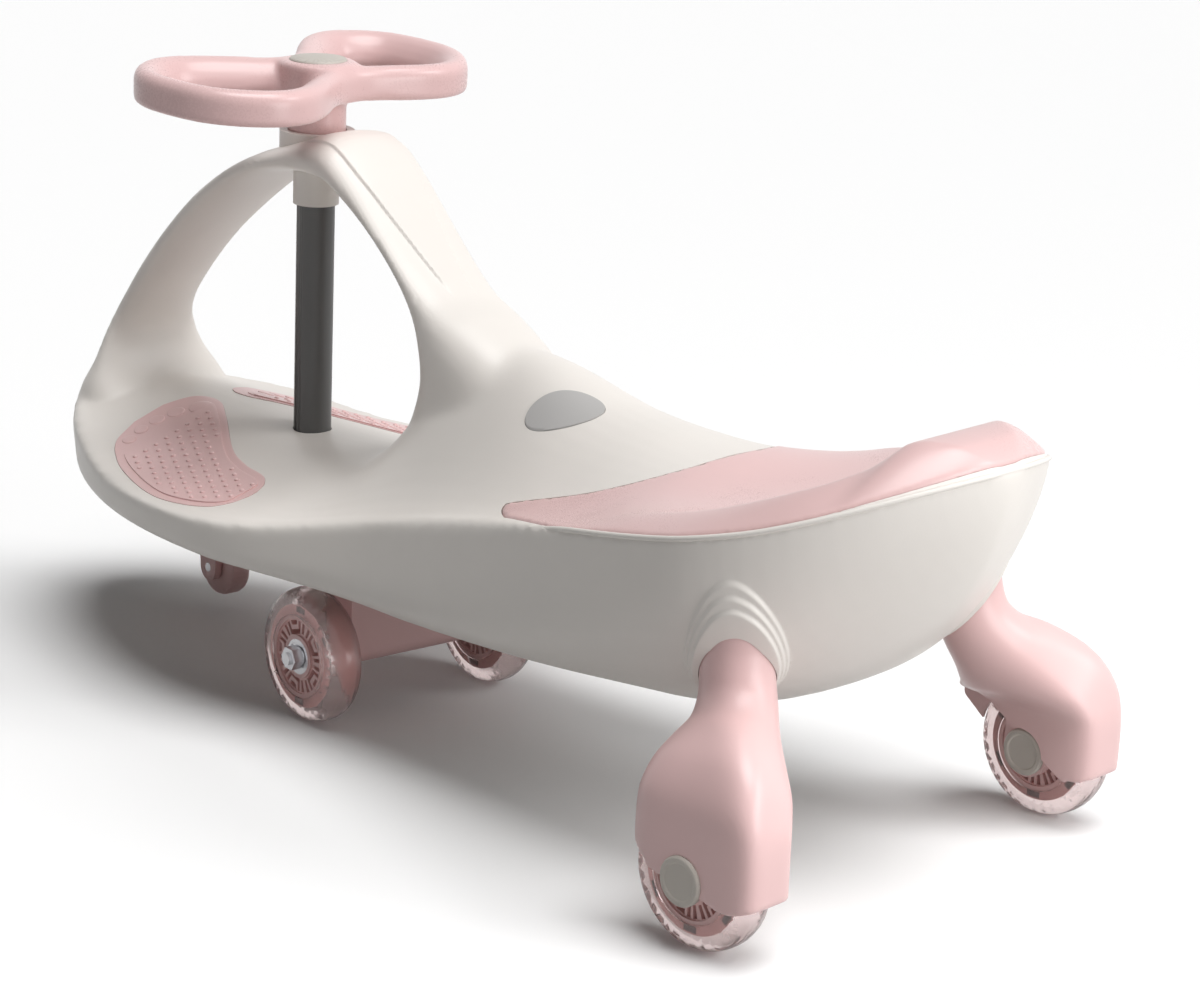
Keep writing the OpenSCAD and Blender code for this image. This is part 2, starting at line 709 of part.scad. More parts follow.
module front_bracket() {
    top = bracket_top;
    color([0.93, 0.72, 0.73])
        steered()
            difference() {
                union() {
                    translate([0, 0, socket_z])
                        cylinder(r = column_r + 7, h = top - socket_z, $fn = 64);
                    translate([0, 0, plate_top - 9])
                        linear_extrude(9)
                            hull() {
                                circle(r = column_r + 12, $fn = 48);
                                translate([-steer_trail - 18, -bracket_half])
                                    square([38, 2 * bracket_half]);
                            }
                    translate([0, 0, plate_top - 9])
                        linear_extrude(9)
                            hull() {
                                circle(r = column_r + 10, $fn = 48);
                                translate([roller_x - 12, -roller_w / 2 - 6])
                                    square([26, roller_w + 12]);
                            }
                    rotate([90, 0, 0])
                        linear_extrude(2 * bracket_half, center = true)
                            hull() {
                                translate([-steer_trail - 10, block_low + 9])
                                    circle(r = 9, $fn = 40);
                                translate([-steer_trail + 11, block_low + 9])
                                    circle(r = 9, $fn = 40);
                                translate([-steer_trail - 18, plate_top - 5])
                                    square([38, 4]);
                            }
                    translate([-steer_trail, 0, axle_z])
                        rotate([90, 0, 0])
                            cylinder(r = axle_r + 3.5, h = 2 * (front_y - core_w / 2 - move_gap), center = true, $fn = 48);
                    for (side = [-1, 1])
                        translate([roller_x, side * (roller_w / 2 + 3.5), 0])
                            rotate([90, 0, 0])
                                linear_extrude(5, center = true)
                                    hull() {
                                        translate([0, roller_z])
                                            circle(r = 9, $fn = 40);
                                        translate([-12, plate_top - 9])
                                            square([26, 4]);
                                    }
                }
                translate([0, 0, socket_z + 3])
                    cylinder(r = column_r + seat_fit, h = 60, $fn = 96);
                translate([0, 0, socket_z + 18])
                    rotate([90, 0, 0])
                        cylinder(r = 3 + seat_fit, h = column_d + 40, center = true, $fn = 32);
                translate([-steer_trail, 0, axle_z])
                    rotate([90, 0, 0])
                        cylinder(r = axle_r + seat_fit, h = 2 * front_y, center = true, $fn = 48);
                translate([roller_x, 0, roller_z])
                    rotate([90, 0, 0])
                        cylinder(r = 3 + seat_fit, h = roller_w + 30, center = true, $fn = 32);
                for (side = [-1, 1])
                    translate([-steer_trail - 13, side * (bracket_half / 2 + 1) - bracket_half / 2 + 7, 0])
                        cube([28, bracket_half - 13, plate_top - 13]);
            }
}

module front_axle() {
    color([0.7, 0.7, 0.72])
        steered()
            translate([-steer_trail, 0, axle_z])
                rotate([90, 0, 0])
                    cylinder(r = axle_r, h = 2 * (front_y + core_w / 2 + 9), center = true, $fn = 48);
}

module front_axle_nuts() {
    color([0.75, 0.75, 0.77])
        steered()
            for (side = [-1, 1])
                translate([-steer_trail, side * (front_y + core_w / 2 + move_gap + 3.2), axle_z])
                    rotate([90, 0, 0])
                        difference() {
                            cylinder(d = nut_af / cos(30), h = 6.4, center = true, $fn = 6);
                            cylinder(r = axle_r + run_fit, h = 10, center = true, $fn = 48);
                        }
}

module anti_tip_roller() {
    r = roller_d / 2;
    color([0.93, 0.72, 0.73])
        steered()
            translate([roller_x, 0, roller_z])
                rotate([90, 0, 0])
                    rotate_extrude($fn = 96)
                        polygon([
                            [3 + run_fit, -roller_w / 2], [r - 4, -roller_w / 2], [r - 1, -roller_w / 2 + 1.5],
                            [r, -roller_w / 2 + 4], [r, roller_w / 2 - 4], [r - 1, roller_w / 2 - 1.5],
                            [r - 4, roller_w / 2], [3 + run_fit, roller_w / 2]]);
}

module roller_pin() {
    color([0.7, 0.7, 0.72])
        steered()
            translate([roller_x, 0, roller_z])
                rotate([90, 0, 0])
                    cylinder(r = 3, h = roller_w + 12, center = true, $fn = 48);
}

// Places of the four wheels; a wheel is drawn around its own middle with its axis along Y
module at_wheel(front, side) {
    if (front)
        steered()
            translate([-steer_trail, side * front_y, axle_z])
                rotate([-90, 0, 0])
                    children();
    else
        translate([rear_x, side * rear_y, axle_z])
            rotate([-90, 0, 0])
                children();
}

module tyre() {
    w = tyre_w / 2;
    side_r = wheel_r - 11;
    color([0.86, 0.8, 0.78])
        rotate_extrude($fn = 128)
            polygon(concat(
                [for (a = [-90 : 15 : 90]) [side_r + 11 * pow(cos(a), 0.8), w * spow(sin(a), 0.9)]],
                [[ring_d / 2 + run_fit, w], [ring_d / 2 + run_fit, flange_w / 2 + run_fit],
                    [flange_d / 2 + run_fit, flange_w / 2 + run_fit], [flange_d / 2 + run_fit, -flange_w / 2 - run_fit],
                    [ring_d / 2 + run_fit, -flange_w / 2 - run_fit], [ring_d / 2 + run_fit, -w]]));
}

module led_places(grow) {
    r = ring_d / 2 + 3.2;
    for (i = [0 : led_count - 1])
        rotate([0, 0, 360 * (i + 0.5) / led_count])
            translate([r, 0, 0])
                cube([3.6 + 2 * grow, 9 + 2 * grow, flange_w], center = true);
}

// Spoke figures: trapezoids with a channel around each and slots between them
function polar(r, a) = [r * cos(a), r * sin(a)];
module spoke_pockets() {
    r0 = hub_r + 1;
    r1 = ring_d / 2 - 3.2;
    step = 180 / spoke_count;
    for (i = [0 : spoke_count - 1])
        rotate([0, 0, 2 * step * i]) {
            polygon([polar(r1, -step * 0.24), polar(r1, step * 0.24), polar(r1 - 3, step * 0.2), polar(r1 - 3, -step * 0.2)]);
            polygon([
                polar(r1, -step * 0.54), polar(r1, -step * 0.36), polar(r0 + 2.6, -step * 0.34),
                polar(r0 + 2.6, step * 0.34), polar(r1, step * 0.36), polar(r1, step * 0.54),
                polar(r0, step * 0.54), polar(r0, -step * 0.54)]);
            for (s = [-1, 1])
                polygon([
                    polar(r1, s * step * 0.68), polar(r1, s * step * 0.88),
                    polar(r0 + 0.6, s * step * 0.9), polar(r0 + 0.6, s * step * 0.68)]);
        }
}

module core() {
    f = core_w / 2;
    rb = bearing_od / 2 + run_fit;
    color([0.88, 0.6, 0.63])
        difference() {
            rotate_extrude($fn = 96)
                polygon([
                    [rb, -f], [hub_r, -f], [hub_r, -f + 1.5], [ring_d / 2 - 2.6, -f + 1.5], [ring_d / 2 - 2.6, -f],
                    [ring_d / 2, -f], [ring_d / 2, -flange_w / 2], [flange_d / 2, -flange_w / 2],
                    [flange_d / 2, flange_w / 2], [ring_d / 2, flange_w / 2], [ring_d / 2, f],
                    [ring_d / 2 - 2.6, f], [ring_d / 2 - 2.6, f - 1.5], [hub_r, f - 1.5], [hub_r, f],
                    [rb, f], [rb, f - bearing_w], [rb - 2, f - bearing_w],
                    [rb - 2, -f + bearing_w], [rb, -f + bearing_w]]);
            for (s = [-1, 1])
                translate([0, 0, s * (f / 2 + 2)])
                    linear_extrude(f, center = true)
                        spoke_pockets();
            led_places(run_fit);
        }
}

module bearings() {
    w = bearing_w;
    a = axle_r + run_fit;
    b = bearing_od / 2;
    color([0.76, 0.76, 0.78])
        for (s = [-1, 1])
            translate([0, 0, s * (core_w / 2 - w / 2)])
                rotate_extrude($fn = 96)
                    polygon([
                        [a, -w / 2], [a + 2, -w / 2], [a + 2, -w / 2 + 0.5], [b - 2, -w / 2 + 0.5], [b - 2, -w / 2],
                        [b, -w / 2], [b, w / 2], [b - 2, w / 2], [b - 2, w / 2 - 0.5], [a + 2, w / 2 - 0.5],
                        [a + 2, w / 2], [a, w / 2]]);
}

module leds() {
    color([0.25, 0.22, 0.22])
        led_places(0);
}

module magnet_sleeve() {
    h = core_w - 2 * bearing_w - 2 * move_gap;
    color([0.35, 0.35, 0.37])
        difference() {
            cylinder(r = axle_r + 3, h = h, center = true, $fn = 64);
            cylinder(r = axle_r + run_fit, h = h + 2, center = true, $fn = 64);
        }
}

module front_tyre_left() {
    at_wheel(true, 1) tyre();
}
module front_tyre_right() {
    at_wheel(true, -1) tyre();
}
module rear_tyre_left() {
    at_wheel(false, 1) tyre();
}
module rear_tyre_right() {
    at_wheel(false, -1) tyre();
}
module front_core_left() {
    at_wheel(true, 1) core();
}
module front_core_right() {
    at_wheel(true, -1) core();
}
module rear_core_left() {
    at_wheel(false, 1) core();
}
module rear_core_right() {
    at_wheel(false, -1) core();
}
module front_bearings_left() {
    at_wheel(true, 1) bearings();
}
module front_bearings_right() {
    at_wheel(true, -1) bearings();
}
module rear_bearings_left() {
    at_wheel(false, 1) bearings();
}
module rear_bearings_right() {
    at_wheel(false, -1) bearings();
}
module front_leds_left() {
    at_wheel(true, 1) leds();
}
module front_leds_right() {
    at_wheel(true, -1) leds();
}
module rear_leds_left() {
    at_wheel(false, 1) leds();
}
module rear_leds_right() {
    at_wheel(false, -1) leds();
}
module front_magnet_left() {
    at_wheel(true, 1) magnet_sleeve();
}
module front_magnet_right() {
    at_wheel(true, -1) magnet_sleeve();
}
module rear_magnet_left() {
    at_wheel(false, 1) magnet_sleeve();
}
module rear_magnet_right() {
    at_wheel(false, -1) magnet_sleeve();
}

// Legs with their fenders
inner_wall = rear_y - pocket_half;
plate_y = inner_wall - 6.5;
module rear_leg(side) {
    color([0.93, 0.72, 0.73])
        mirror([0, side < 0 ? 1 : 0, 0])
            difference() {
                union() {
                    difference() {
                        union() {
                            leg_skin(len(leg_sections) - 1, 0);
                            root_plug();
                        }
                        translate([rear_x, rear_y, axle_z])
                            rotate([90, 0, 0])
                                cylinder(r = wheel_r + wheel_room, h = 2 * pocket_half, center = true, $fn = 36);
                        translate([rear_x - wheel_r - wheel_room, rear_y - pocket_half, -10])
                            cube([2 * (wheel_r + wheel_room), 2 * pocket_half, axle_z + 10]);
                        translate([rear_x, inner_wall + 0.1, 0])
                            rotate([90, 0, 0])
                                linear_extrude(60)
                                    polygon([[80, 70], [31, 72], [-30, 33], [-62, 36], [-62, -10], [80, -10]]);
                    }
                    translate([rear_x, inner_wall, axle_z])
                        rotate([90, 0, 0])
                            linear_extrude(inner_wall - plate_y)
                                hull() {
                                    circle(r = hubcap_d / 2 + 1.5, $fn = 36);
                                    translate([-24, 24])
                                        square([40, 16]);
                                }
                    for (s = [-1, 1])
                        translate([rear_x, rear_y + s * (core_w / 2 + move_gap + 1.5), axle_z])
                            rotate([90, 0, 0])
                                cylinder(r = axle_r + 3, h = 3, center = true, $fn = 24);
                }
                translate([rear_x, rear_y, axle_z])
                    rotate([90, 0, 0])
                        cylinder(r = axle_r + seat_fit, h = 100, center = true, $fn = 36);
                translate([rear_x, outer_y - 2 + 10, axle_z])
                    rotate([90, 0, 0])
                        cylinder(r = hubcap_d / 2 + seat_fit, h = 20, center = true, $fn = 28);
                translate([rear_x, plate_y + 4.5 - 10, axle_z])
                    rotate([90, 0, 0])
                        cylinder(r = nut_af / 2 + 2, h = 20, center = true, $fn = 28);
                translate([rear_x, plate_y - 10, axle_z])
                    rotate([90, 0, 0])
                        cylinder(r = hubcap_d / 2 + 1, h = 20, center = true, $fn = 28);
                translate([root_x, root_y, root_top - 26])
                    cylinder(r = 3 + seat_fit, h = 30, $fn = 24);
            }
}
module rear_leg_left() {
    rear_leg(1);
}
module rear_leg_right() {
    rear_leg(-1);
}

module leg_screws() {
    color([0.7, 0.7, 0.72])
        both_sides() {
            translate([root_x, root_y, screw_floor + seat_fit])
                cylinder(r = 7, h = 5, $fn = 32);
            translate([root_x, root_y, root_top - 25])
                cylinder(r = 3, h = screw_floor + 1 - root_top + 25, $fn = 32);
        }
}

// Axle bolt with a low head outside and a nut inside, both under caps
module rear_axle(side) {
    color([0.7, 0.7, 0.72])
        mirror([0, side < 0 ? 1 : 0, 0])
            translate([rear_x, 0, axle_z])
                rotate([-90, 0, 0]) {
                    translate([0, 0, plate_y - 0.5])
                        cylinder(r = axle_r, h = outer_y - 1 - plate_y, $fn = 64);
                    translate([0, 0, outer_y - 1.9])
                        cylinder(r = axle_r + 3, h = 1.6, $fn = 64);
                }
}
module rear_axle_left() {
    rear_axle(1);
}
module rear_axle_right() {
    rear_axle(-1);
}
module rear_axle_nuts() {
    color([0.75, 0.75, 0.77])
        for (side = [-1, 1])
            translate([rear_x, side * (plate_y + 2.3), axle_z])
                rotate([90, 0, 0])
                    difference() {
                        cylinder(d = nut_af / cos(30), h = 4, center = true, $fn = 6);
                        cylinder(r = axle_r + run_fit, h = 10, center = true, $fn = 48);
                    }
}

// Plain hub caps with a raised ring
module hub_cap(depth, hollow) {
    r = hubcap_d / 2;
    color([0.78, 0.76, 0.72])
        rotate_extrude($fn = 96)
            polygon([
                [0, hollow], [axle_r + 4, hollow], [axle_r + 4, 0], [r, 0], [r, depth - 1.2], [r - 1, depth],
                [r - 3.2, depth], [r - 4, depth - 0.8], [0, depth - 0.8]]);
}
module outer_cap(side) {
    mirror([0, side < 0 ? 1 : 0, 0])
        translate([rear_x, outer_y - 2 + seat_fit, axle_z])
            rotate([-90, 0, 0])
                hub_cap(4, 2);
}
module inner_cap(side) {
    mirror([0, side < 0 ? 1 : 0, 0])
        translate([rear_x, plate_y - seat_fit, axle_z])
            rotate([90, 0, 0])
                hub_cap(3, 1);
}
module hub_cap_outer_left() {
    outer_cap(1);
}
module hub_cap_outer_right() {
    outer_cap(-1);
}
module hub_cap_inner_left() {
    inner_cap(1);
}
module hub_cap_inner_right() {
    inner_cap(-1);
}

body_shell();
seat_pad();
foot_pad_left();
foot_pad_right();
badge_plate();
head_bush();
deck_bush();
steering_wheel();
steering_cap();
steering_bolt();
steering_column();
column_pin();
front_bracket();
front_axle();
front_axle_nuts();
front_tyre_left();
front_tyre_right();
front_core_left();
front_core_right();
front_bearings_left();
front_bearings_right();
front_leds_left();
front_leds_right();
front_magnet_left();
front_magnet_right();
anti_tip_roller();
roller_pin();
rear_leg_left();
rear_leg_right();
leg_screws();
rear_axle_left();
rear_axle_right();
rear_axle_nuts();
rear_tyre_left();
rear_tyre_right();
rear_core_left();
rear_core_right();
rear_bearings_left();
rear_bearings_right();
rear_leds_left();
rear_leds_right();
rear_magnet_left();
rear_magnet_right();
hub_cap_outer_left();
hub_cap_outer_right();
hub_cap_inner_left();
hub_cap_inner_right();
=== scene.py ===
# Wiggle car: a child's ride-on toy with a moulded hull, a swinging front bracket and two
# fendered legs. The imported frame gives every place, and this file gives each piece its looks.
import math
import bpy
import bmesh
from mathutils import Matrix, Vector


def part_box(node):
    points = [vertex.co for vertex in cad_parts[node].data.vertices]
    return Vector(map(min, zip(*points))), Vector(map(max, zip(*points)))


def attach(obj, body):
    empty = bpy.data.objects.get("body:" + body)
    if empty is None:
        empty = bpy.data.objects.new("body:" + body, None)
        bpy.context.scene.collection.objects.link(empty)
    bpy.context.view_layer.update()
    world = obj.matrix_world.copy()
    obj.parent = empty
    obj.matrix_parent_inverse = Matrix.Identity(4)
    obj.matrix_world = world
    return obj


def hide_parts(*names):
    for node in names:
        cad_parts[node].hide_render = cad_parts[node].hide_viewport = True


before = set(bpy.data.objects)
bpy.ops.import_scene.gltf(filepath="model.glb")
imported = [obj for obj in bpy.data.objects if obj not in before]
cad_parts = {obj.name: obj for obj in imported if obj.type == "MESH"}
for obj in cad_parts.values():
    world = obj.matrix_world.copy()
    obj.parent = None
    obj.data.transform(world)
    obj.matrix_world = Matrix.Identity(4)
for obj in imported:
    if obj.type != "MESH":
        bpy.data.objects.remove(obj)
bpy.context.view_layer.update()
bpy.context.scene.view_settings.view_transform = "Standard"


# Camera
# A long lens behind the car's left rear corner, a little above the seat. It is held
# slightly off level.
camera_data = bpy.data.cameras.new("camera")
camera_data.lens = 102.0
camera_data.sensor_width = 36.0
camera_data.sensor_fit = "HORIZONTAL"
camera = bpy.data.objects.new("camera", camera_data)
bpy.context.collection.objects.link(camera)
camera_spot = Vector((-1.39994, 1.38961, 0.73868))
yaw, pitch, roll = -0.81112, -0.29111, 0.04163
sight = Vector((math.cos(yaw) * math.cos(pitch), math.sin(yaw) * math.cos(pitch), math.sin(pitch)))
level = sight.cross(Vector((0, 0, 1))).normalized()
upright = level.cross(sight)
across = level * math.cos(roll) + upright * math.sin(roll)
upward = upright * math.cos(roll) - level * math.sin(roll)
facing = Matrix((across, upward, -sight)).transposed().to_4x4()
camera.matrix_world = Matrix.Translation(camera_spot) @ facing
bpy.context.scene.camera = camera


# Hull
# One blow-moulded shell in cream plastic: a boat-shaped seat tub, a hollow foot platform and
# the arch that carries the steering. Pads, bushes and legs sit in pockets cut into it.
mm = 0.001


def middle(node):
    low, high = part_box(node)
    return (Vector(low) + Vector(high)) / 2 / mm


rear_x = middle("rear_axle_left").x
column_x = middle("head_bush").x
rear_y = middle("rear_tyre_left").y
steer_trail, tail_overhang, nose_overhang = 102, 70, 201
wheel_base = column_x - steer_trail - rear_x
tail_x = rear_x - tail_overhang
nose_x = column_x + nose_overhang
seat_x = rear_x + 54
waist_x = rear_x + 310
plat_x = column_x - 28
keel_x = rear_x + 95
crest_rear_x = rear_x - 28
crest_front_x = rear_x + 150
seat_w, waist_w, platform_w = 262, 200, 268
tail_z, seat_z, platform_z, nose_z = 251, 218, 126, 148
deck_z, saddle_z, skirt_z, belly_z = 152, 242, 96, 88
side_wall, deck_wall = 5.2, 4.8
# Radii of the column, its bushes and the steering wheel's neck, and heights of the head bush
tube_r, sleeve_r, neck_r, collar_r = 12, 14.4, 18, 23.4
sleeve_low, collar_low, collar_floor, collar_top = 298.2, 326.2, 334, 345


def mix(a, b, t):
    return a + (b - a) * t


def unit(t):
    return min(1.0, max(0.0, t))


def ease(t):
    t = unit(t)
    return t * t * (3 - 2 * t)


def signed_power(v, n):
    return math.copysign(abs(v) ** n, v)


def curve(knots, x):
    """Smooth curve through knots of position and value."""
    last = len(knots) - 1
    i = 0
    while i < last - 1 and x >= knots[i + 1][0]:
        i += 1

    def slope(k):
        a, b = max(0, k - 1), min(last, k + 1)
        return (knots[b][1] - knots[a][1]) / (knots[b][0] - knots[a][0])

    h = knots[i + 1][0] - knots[i][0]
    t = unit((x - knots[i][0]) / h)
    return ((2 * t ** 3 - 3 * t ** 2 + 1) * knots[i][1] + (t ** 3 - 2 * t ** 2 + t) * slope(i) * h
            + (3 * t ** 2 - 2 * t ** 3) * knots[i + 1][1] + (t ** 3 - t ** 2) * slope(i + 1) * h)


def half_w(x):
    if x < seat_x:
        return seat_w / 2 * max(0, 1 - ((seat_x - x) / (seat_x - tail_x)) ** 1.7) ** (1 / 1.7)
    if x < waist_x:
        return mix(seat_w, waist_w, ease((x - seat_x) / (waist_x - seat_x))) / 2
    if x < plat_x:
        return mix(waist_w, platform_w, ease((x - waist_x) / (plat_x - waist_x))) / 2
    return platform_w / 2 * max(0, 1 - ((x - plat_x) / (nose_x - plat_x)) ** 1.8) ** (1 / 1.8)


def rim_z(x):
    return curve([
        (tail_x, tail_z), (rear_x + 15, seat_z), (rear_x + 198, mix(platform_z, seat_z, 0.58)),
        (column_x - 100, platform_z + 8), (column_x - 12, platform_z), (column_x + 65, platform_z + 1),
        (column_x + 130, nose_z - 9), (nose_x, nose_z)], x)


def keel_z(x):
    if x < keel_x:
        return mix(tail_z, belly_z, max(0, 1 - ((keel_x - x) / (keel_x - tail_x)) ** 1.84) ** (1 / 1.84))
    return mix(belly_z, skirt_z, ease((x - rear_x - 280) / (wheel_base - 241)))


def bilge(x):
    if x < rear_x + 60:
        return mix(1.45, 2.6, ease((x - tail_x) / (rear_x + 60 - tail_x)))
    return mix(2.6, 9, ease((x - rear_x - 60) / (wheel_base - 9)))


def flare(x):
    return curve([
        (tail_x, 0), (rear_x + 60, 0), (waist_x - 20, 13), (plat_x - 50, 0), (plat_x + 10, -8),
        (nose_x, -8)], x)


def ridge_z(x):
    return curve([
        (rear_x + 80, seat_z - 14), (rear_x + 126, seat_z - 3),
        (rear_x + 205, mix(seat_z, saddle_z, 0.3)), (rear_x + 268, saddle_z),
        (column_x - 168, saddle_z - 2), (column_x - 138, mix(deck_z, saddle_z, 0.7)),
        (column_x - 112, mix(deck_z, saddle_z, 0.33)), (column_x - 86, deck_z + 8),
        (column_x - 44, deck_z + 1), (column_x, deck_z),
        (column_x + 88, deck_z + 3), (column_x + 126, deck_z + 4),
        (column_x + 160, nose_z + 8), (nose_x, nose_z + 1)], x)


def crest_share(x):
    t = unit((crest_front_x - x) / (crest_front_x - crest_rear_x))
    return max(0.42, min(0.9, seat_w * 0.4 * (1 - t ** 4) ** 0.4 / max(1, half_w(x))))


def crest_z(x):
    return curve([
        (tail_x, tail_z), (tail_x + 9, tail_z + 8), (tail_x + 22, tail_z + 13), (crest_rear_x, tail_z + 11),
        (crest_rear_x + 10, mix(seat_z, tail_z, 0.95)), (rear_x + 10, mix(seat_z, tail_z, 0.52)),
        (rear_x + 55, seat_z), (rear_x + 100, seat_z - 12), (crest_front_x, seat_z - 27)], x)


def dish_z(x):
    return curve([
        (crest_rear_x, tail_z + 11), (rear_x - 8, mix(seat_z, tail_z, 0.6)), (rear_x + 25, seat_z - 2),
        (rear_x + 70, seat_z - 12), (rear_x + 126, seat_z - 4)], x)


def dish(x, v):
    c, r, k = crest_share(x), rim_z(x), crest_z(x)
    if v >= c:
        return r + (k - r) * math.sin(1.1 * (1 - v) / (1 - c)) / math.sin(1.1)
    return mix(dish_z(x) if x > crest_rear_x else k, k, (v / c) ** 2)


def bell(x, v):
    return rim_z(x) + (ridge_z(x) - rim_z(x)) * (1 + math.cos(math.pi * v)) / 2


def deck(x, v):
    """Height of the finished deck at x and at a share v of the half width."""
    return mix(dish(x, v), bell(x, v), ease((x - rear_x - 90) / 80))


def deck_at(x, y):
    return deck(x, min(1, abs(y) / max(1, half_w(x))))


def shares(x):
    c = crest_share(x)
    return [c * j / 10 for j in range(10)] + [mix(c, 1, j / 8) for j in range(9)]


def mirrored(half):
    return half + [(x, -y, z) for x, y, z in half[-2:0:-1]]


def hull_ring(x):
    w, r, k, n = half_w(x), rim_z(x), keel_z(x), bilge(x)
    lean = flare(x) * w / platform_w * 2
    half = [(x, v * w, deck(x, v)) for v in shares(x)]
    for j in range(1, 17):
        turn = math.pi / 2 * j / 16
        c, s = math.cos(turn), math.sin(turn) ** (2 / n)
        half.append((x, 0 if j == 16 else (w + lean * s) * c ** (2 / n), mix(r, k, s)))
    return mirrored(half)


def hollow_ring(x):
    w = half_w(x) - side_wall
    foot = w + min(0, flare(x)) * w / platform_w * 2
    half = [(x, v * w, deck(x, v) - deck_wall) for v in shares(x)]
    return mirrored(half + [(x, foot, skirt_z - 12), (x, 0, skirt_z - 12)])


def sheet(name, rows):
    """Grid primitive whose points go to the rows, given in millimetres."""
    bpy.ops.object.select_all(action="DESELECT")
    bpy.ops.mesh.primitive_grid_add(x_subdivisions=len(rows[0]) - 1, y_subdivisions=len(rows) - 1, size=1)
    piece = bpy.context.object
    piece.name = name
    piece.data.name = name
    spots = [Vector(spot) * mm for row in rows for spot in row]
    for vert, spot in zip(piece.data.vertices, spots, strict=True):
        vert.co = spot
    return piece


def loft(name, rings):
    """Closed skin over rings that have the same number of points, in millimetres."""
    piece = sheet(name, [ring + ring[:1] for ring in rings])
    bpy.ops.object.mode_set(mode="EDIT")
    bpy.ops.mesh.select_all(action="SELECT")
    bpy.ops.mesh.remove_doubles(threshold=1e-6)
    bpy.ops.mesh.select_all(action="DESELECT")
    bpy.ops.mesh.select_mode(type="EDGE")
    bpy.ops.mesh.select_non_manifold()
    bpy.ops.mesh.fill_holes(sides=0)
    bpy.ops.mesh.select_mode(type="VERT")
    bpy.ops.mesh.select_all(action="SELECT")
    bpy.ops.mesh.normals_make_consistent(inside=False)
    bpy.ops.object.mode_set(mode="OBJECT")
    return piece


def make_active(piece):
    bpy.ops.object.select_all(action="DESELECT")
    piece.select_set(True)
    bpy.context.view_layer.objects.active = piece


def face_outward(piece):
    make_active(piece)
    bpy.ops.object.mode_set(mode="EDIT")
    bpy.ops.mesh.select_all(action="SELECT")
    bpy.ops.mesh.normals_make_consistent(inside=False)
    bpy.ops.object.mode_set(mode="OBJECT")


def extruded(piece, x, y, z):
    """Flat piece drawn out into a closed solid, in millimetres."""
    bpy.ops.object.mode_set(mode="EDIT")
    bpy.ops.mesh.select_all(action="SELECT")
    bpy.ops.mesh.extrude_region_move(TRANSFORM_OT_translate={"value": (x * mm, y * mm, z * mm)})
    bpy.ops.object.mode_set(mode="OBJECT")
    face_outward(piece)
    return piece


def raised(name, rows, height):
    """Sheet that is extruded upward into a closed slab, in millimetres."""
    return extruded(sheet(name, rows), 0, 0, height)


def upright_drum(name, x, y, low, high, radius, sides=64):
    """Cylinder primitive on a vertical axis, in millimetres."""
    bpy.ops.object.select_all(action="DESELECT")
    bpy.ops.mesh.primitive_cylinder_add(vertices=sides, radius=radius * mm, depth=(high - low) * mm,
                                        location=(x * mm, y * mm, (low + high) / 2 * mm))
    drum = bpy.context.object
    drum.name = name
    bpy.ops.object.transform_apply(location=True, rotation=True, scale=True)
    return drum


def apply_modifier(piece, kind, **settings):
    make_active(piece)
    tool = piece.modifiers.new(kind.lower(), kind)
    for key, value in settings.items():
        setattr(tool, key, value)
    bpy.ops.object.modifier_apply(modifier=tool.name)


def apply_where(piece, weight, kind, **settings):
    """Modifier that works by the share that a function of x, y and z in millimetres gives."""
    group = piece.vertex_groups.new(name="share")
    for vert in piece.data.vertices:
        share = weight(*(vert.co / mm))
        if share > 0:
            group.add([vert.index], share, "REPLACE")
    apply_modifier(piece, kind, vertex_group="share", **settings)
    piece.vertex_groups.clear()


def blend_surface(piece, voxel, passes):
    """One skin over a piece, of voxels in millimetres, with its edges eased."""
    apply_modifier(piece, "REMESH", mode="VOXEL", voxel_size=voxel * mm)
    apply_modifier(piece, "SMOOTH", factor=0.5, iterations=passes)


def carve(piece, cutter, operation="DIFFERENCE"):
    apply_modifier(piece, "BOOLEAN", operation=operation, solver="MANIFOLD", object=cutter)
    bpy.data.objects.remove(cutter)


def duplicate(piece, name):
    twin = piece.copy()
    twin.data = piece.data.copy()
    twin.name = name
    bpy.context.collection.objects.link(twin)
    return twin


def spline(p, q, r, s, t):
    """Smooth curve from q to r, with p before them and s after them."""
    bend = 2 * p - 5 * q + 4 * r - s
    return 0.5 * (2 * q + (r - p) * t + bend * t * t + (3 * q - p - 3 * r + s) * t ** 3)


def spline_rings(rings, steps):
    """Rings between the given ones, on smooth curves through their points."""
    rows = []
    last = len(rings) - 1
    for i in range(last):
        a, b, c, d = rings[max(0, i - 1)], rings[i], rings[i + 1], rings[min(last, i + 2)]
        for k in range(steps + (i == last - 1)):
            t = k / steps
            rows.append([tuple(spline(*four, t) for four in zip(*spots)) for spots in zip(a, b, c, d)])
    return rows


stations = (
    [tail_x + 0.4 + (seat_x - tail_x) * (1 - math.cos(math.pi / 2 * i / 18)) for i in range(18)]
    + [mix(seat_x, waist_x, i / 26) for i in range(26)]
    + [mix(waist_x, plat_x, i / 18) for i in range(18)]
    + [plat_x + (nose_x - 0.4 - plat_x) * math.sin(math.pi / 2 * i / 20) for i in range(21)])
hollow_stations = (
    [mix(column_x - 120, plat_x, i / 12) for i in range(12)]
    + [plat_x + (nose_x - 16 - plat_x) * math.sin(math.pi / 2 * i / 16) for i in range(17)])
hull = loft("hull", [hull_ring(x) for x in stations])

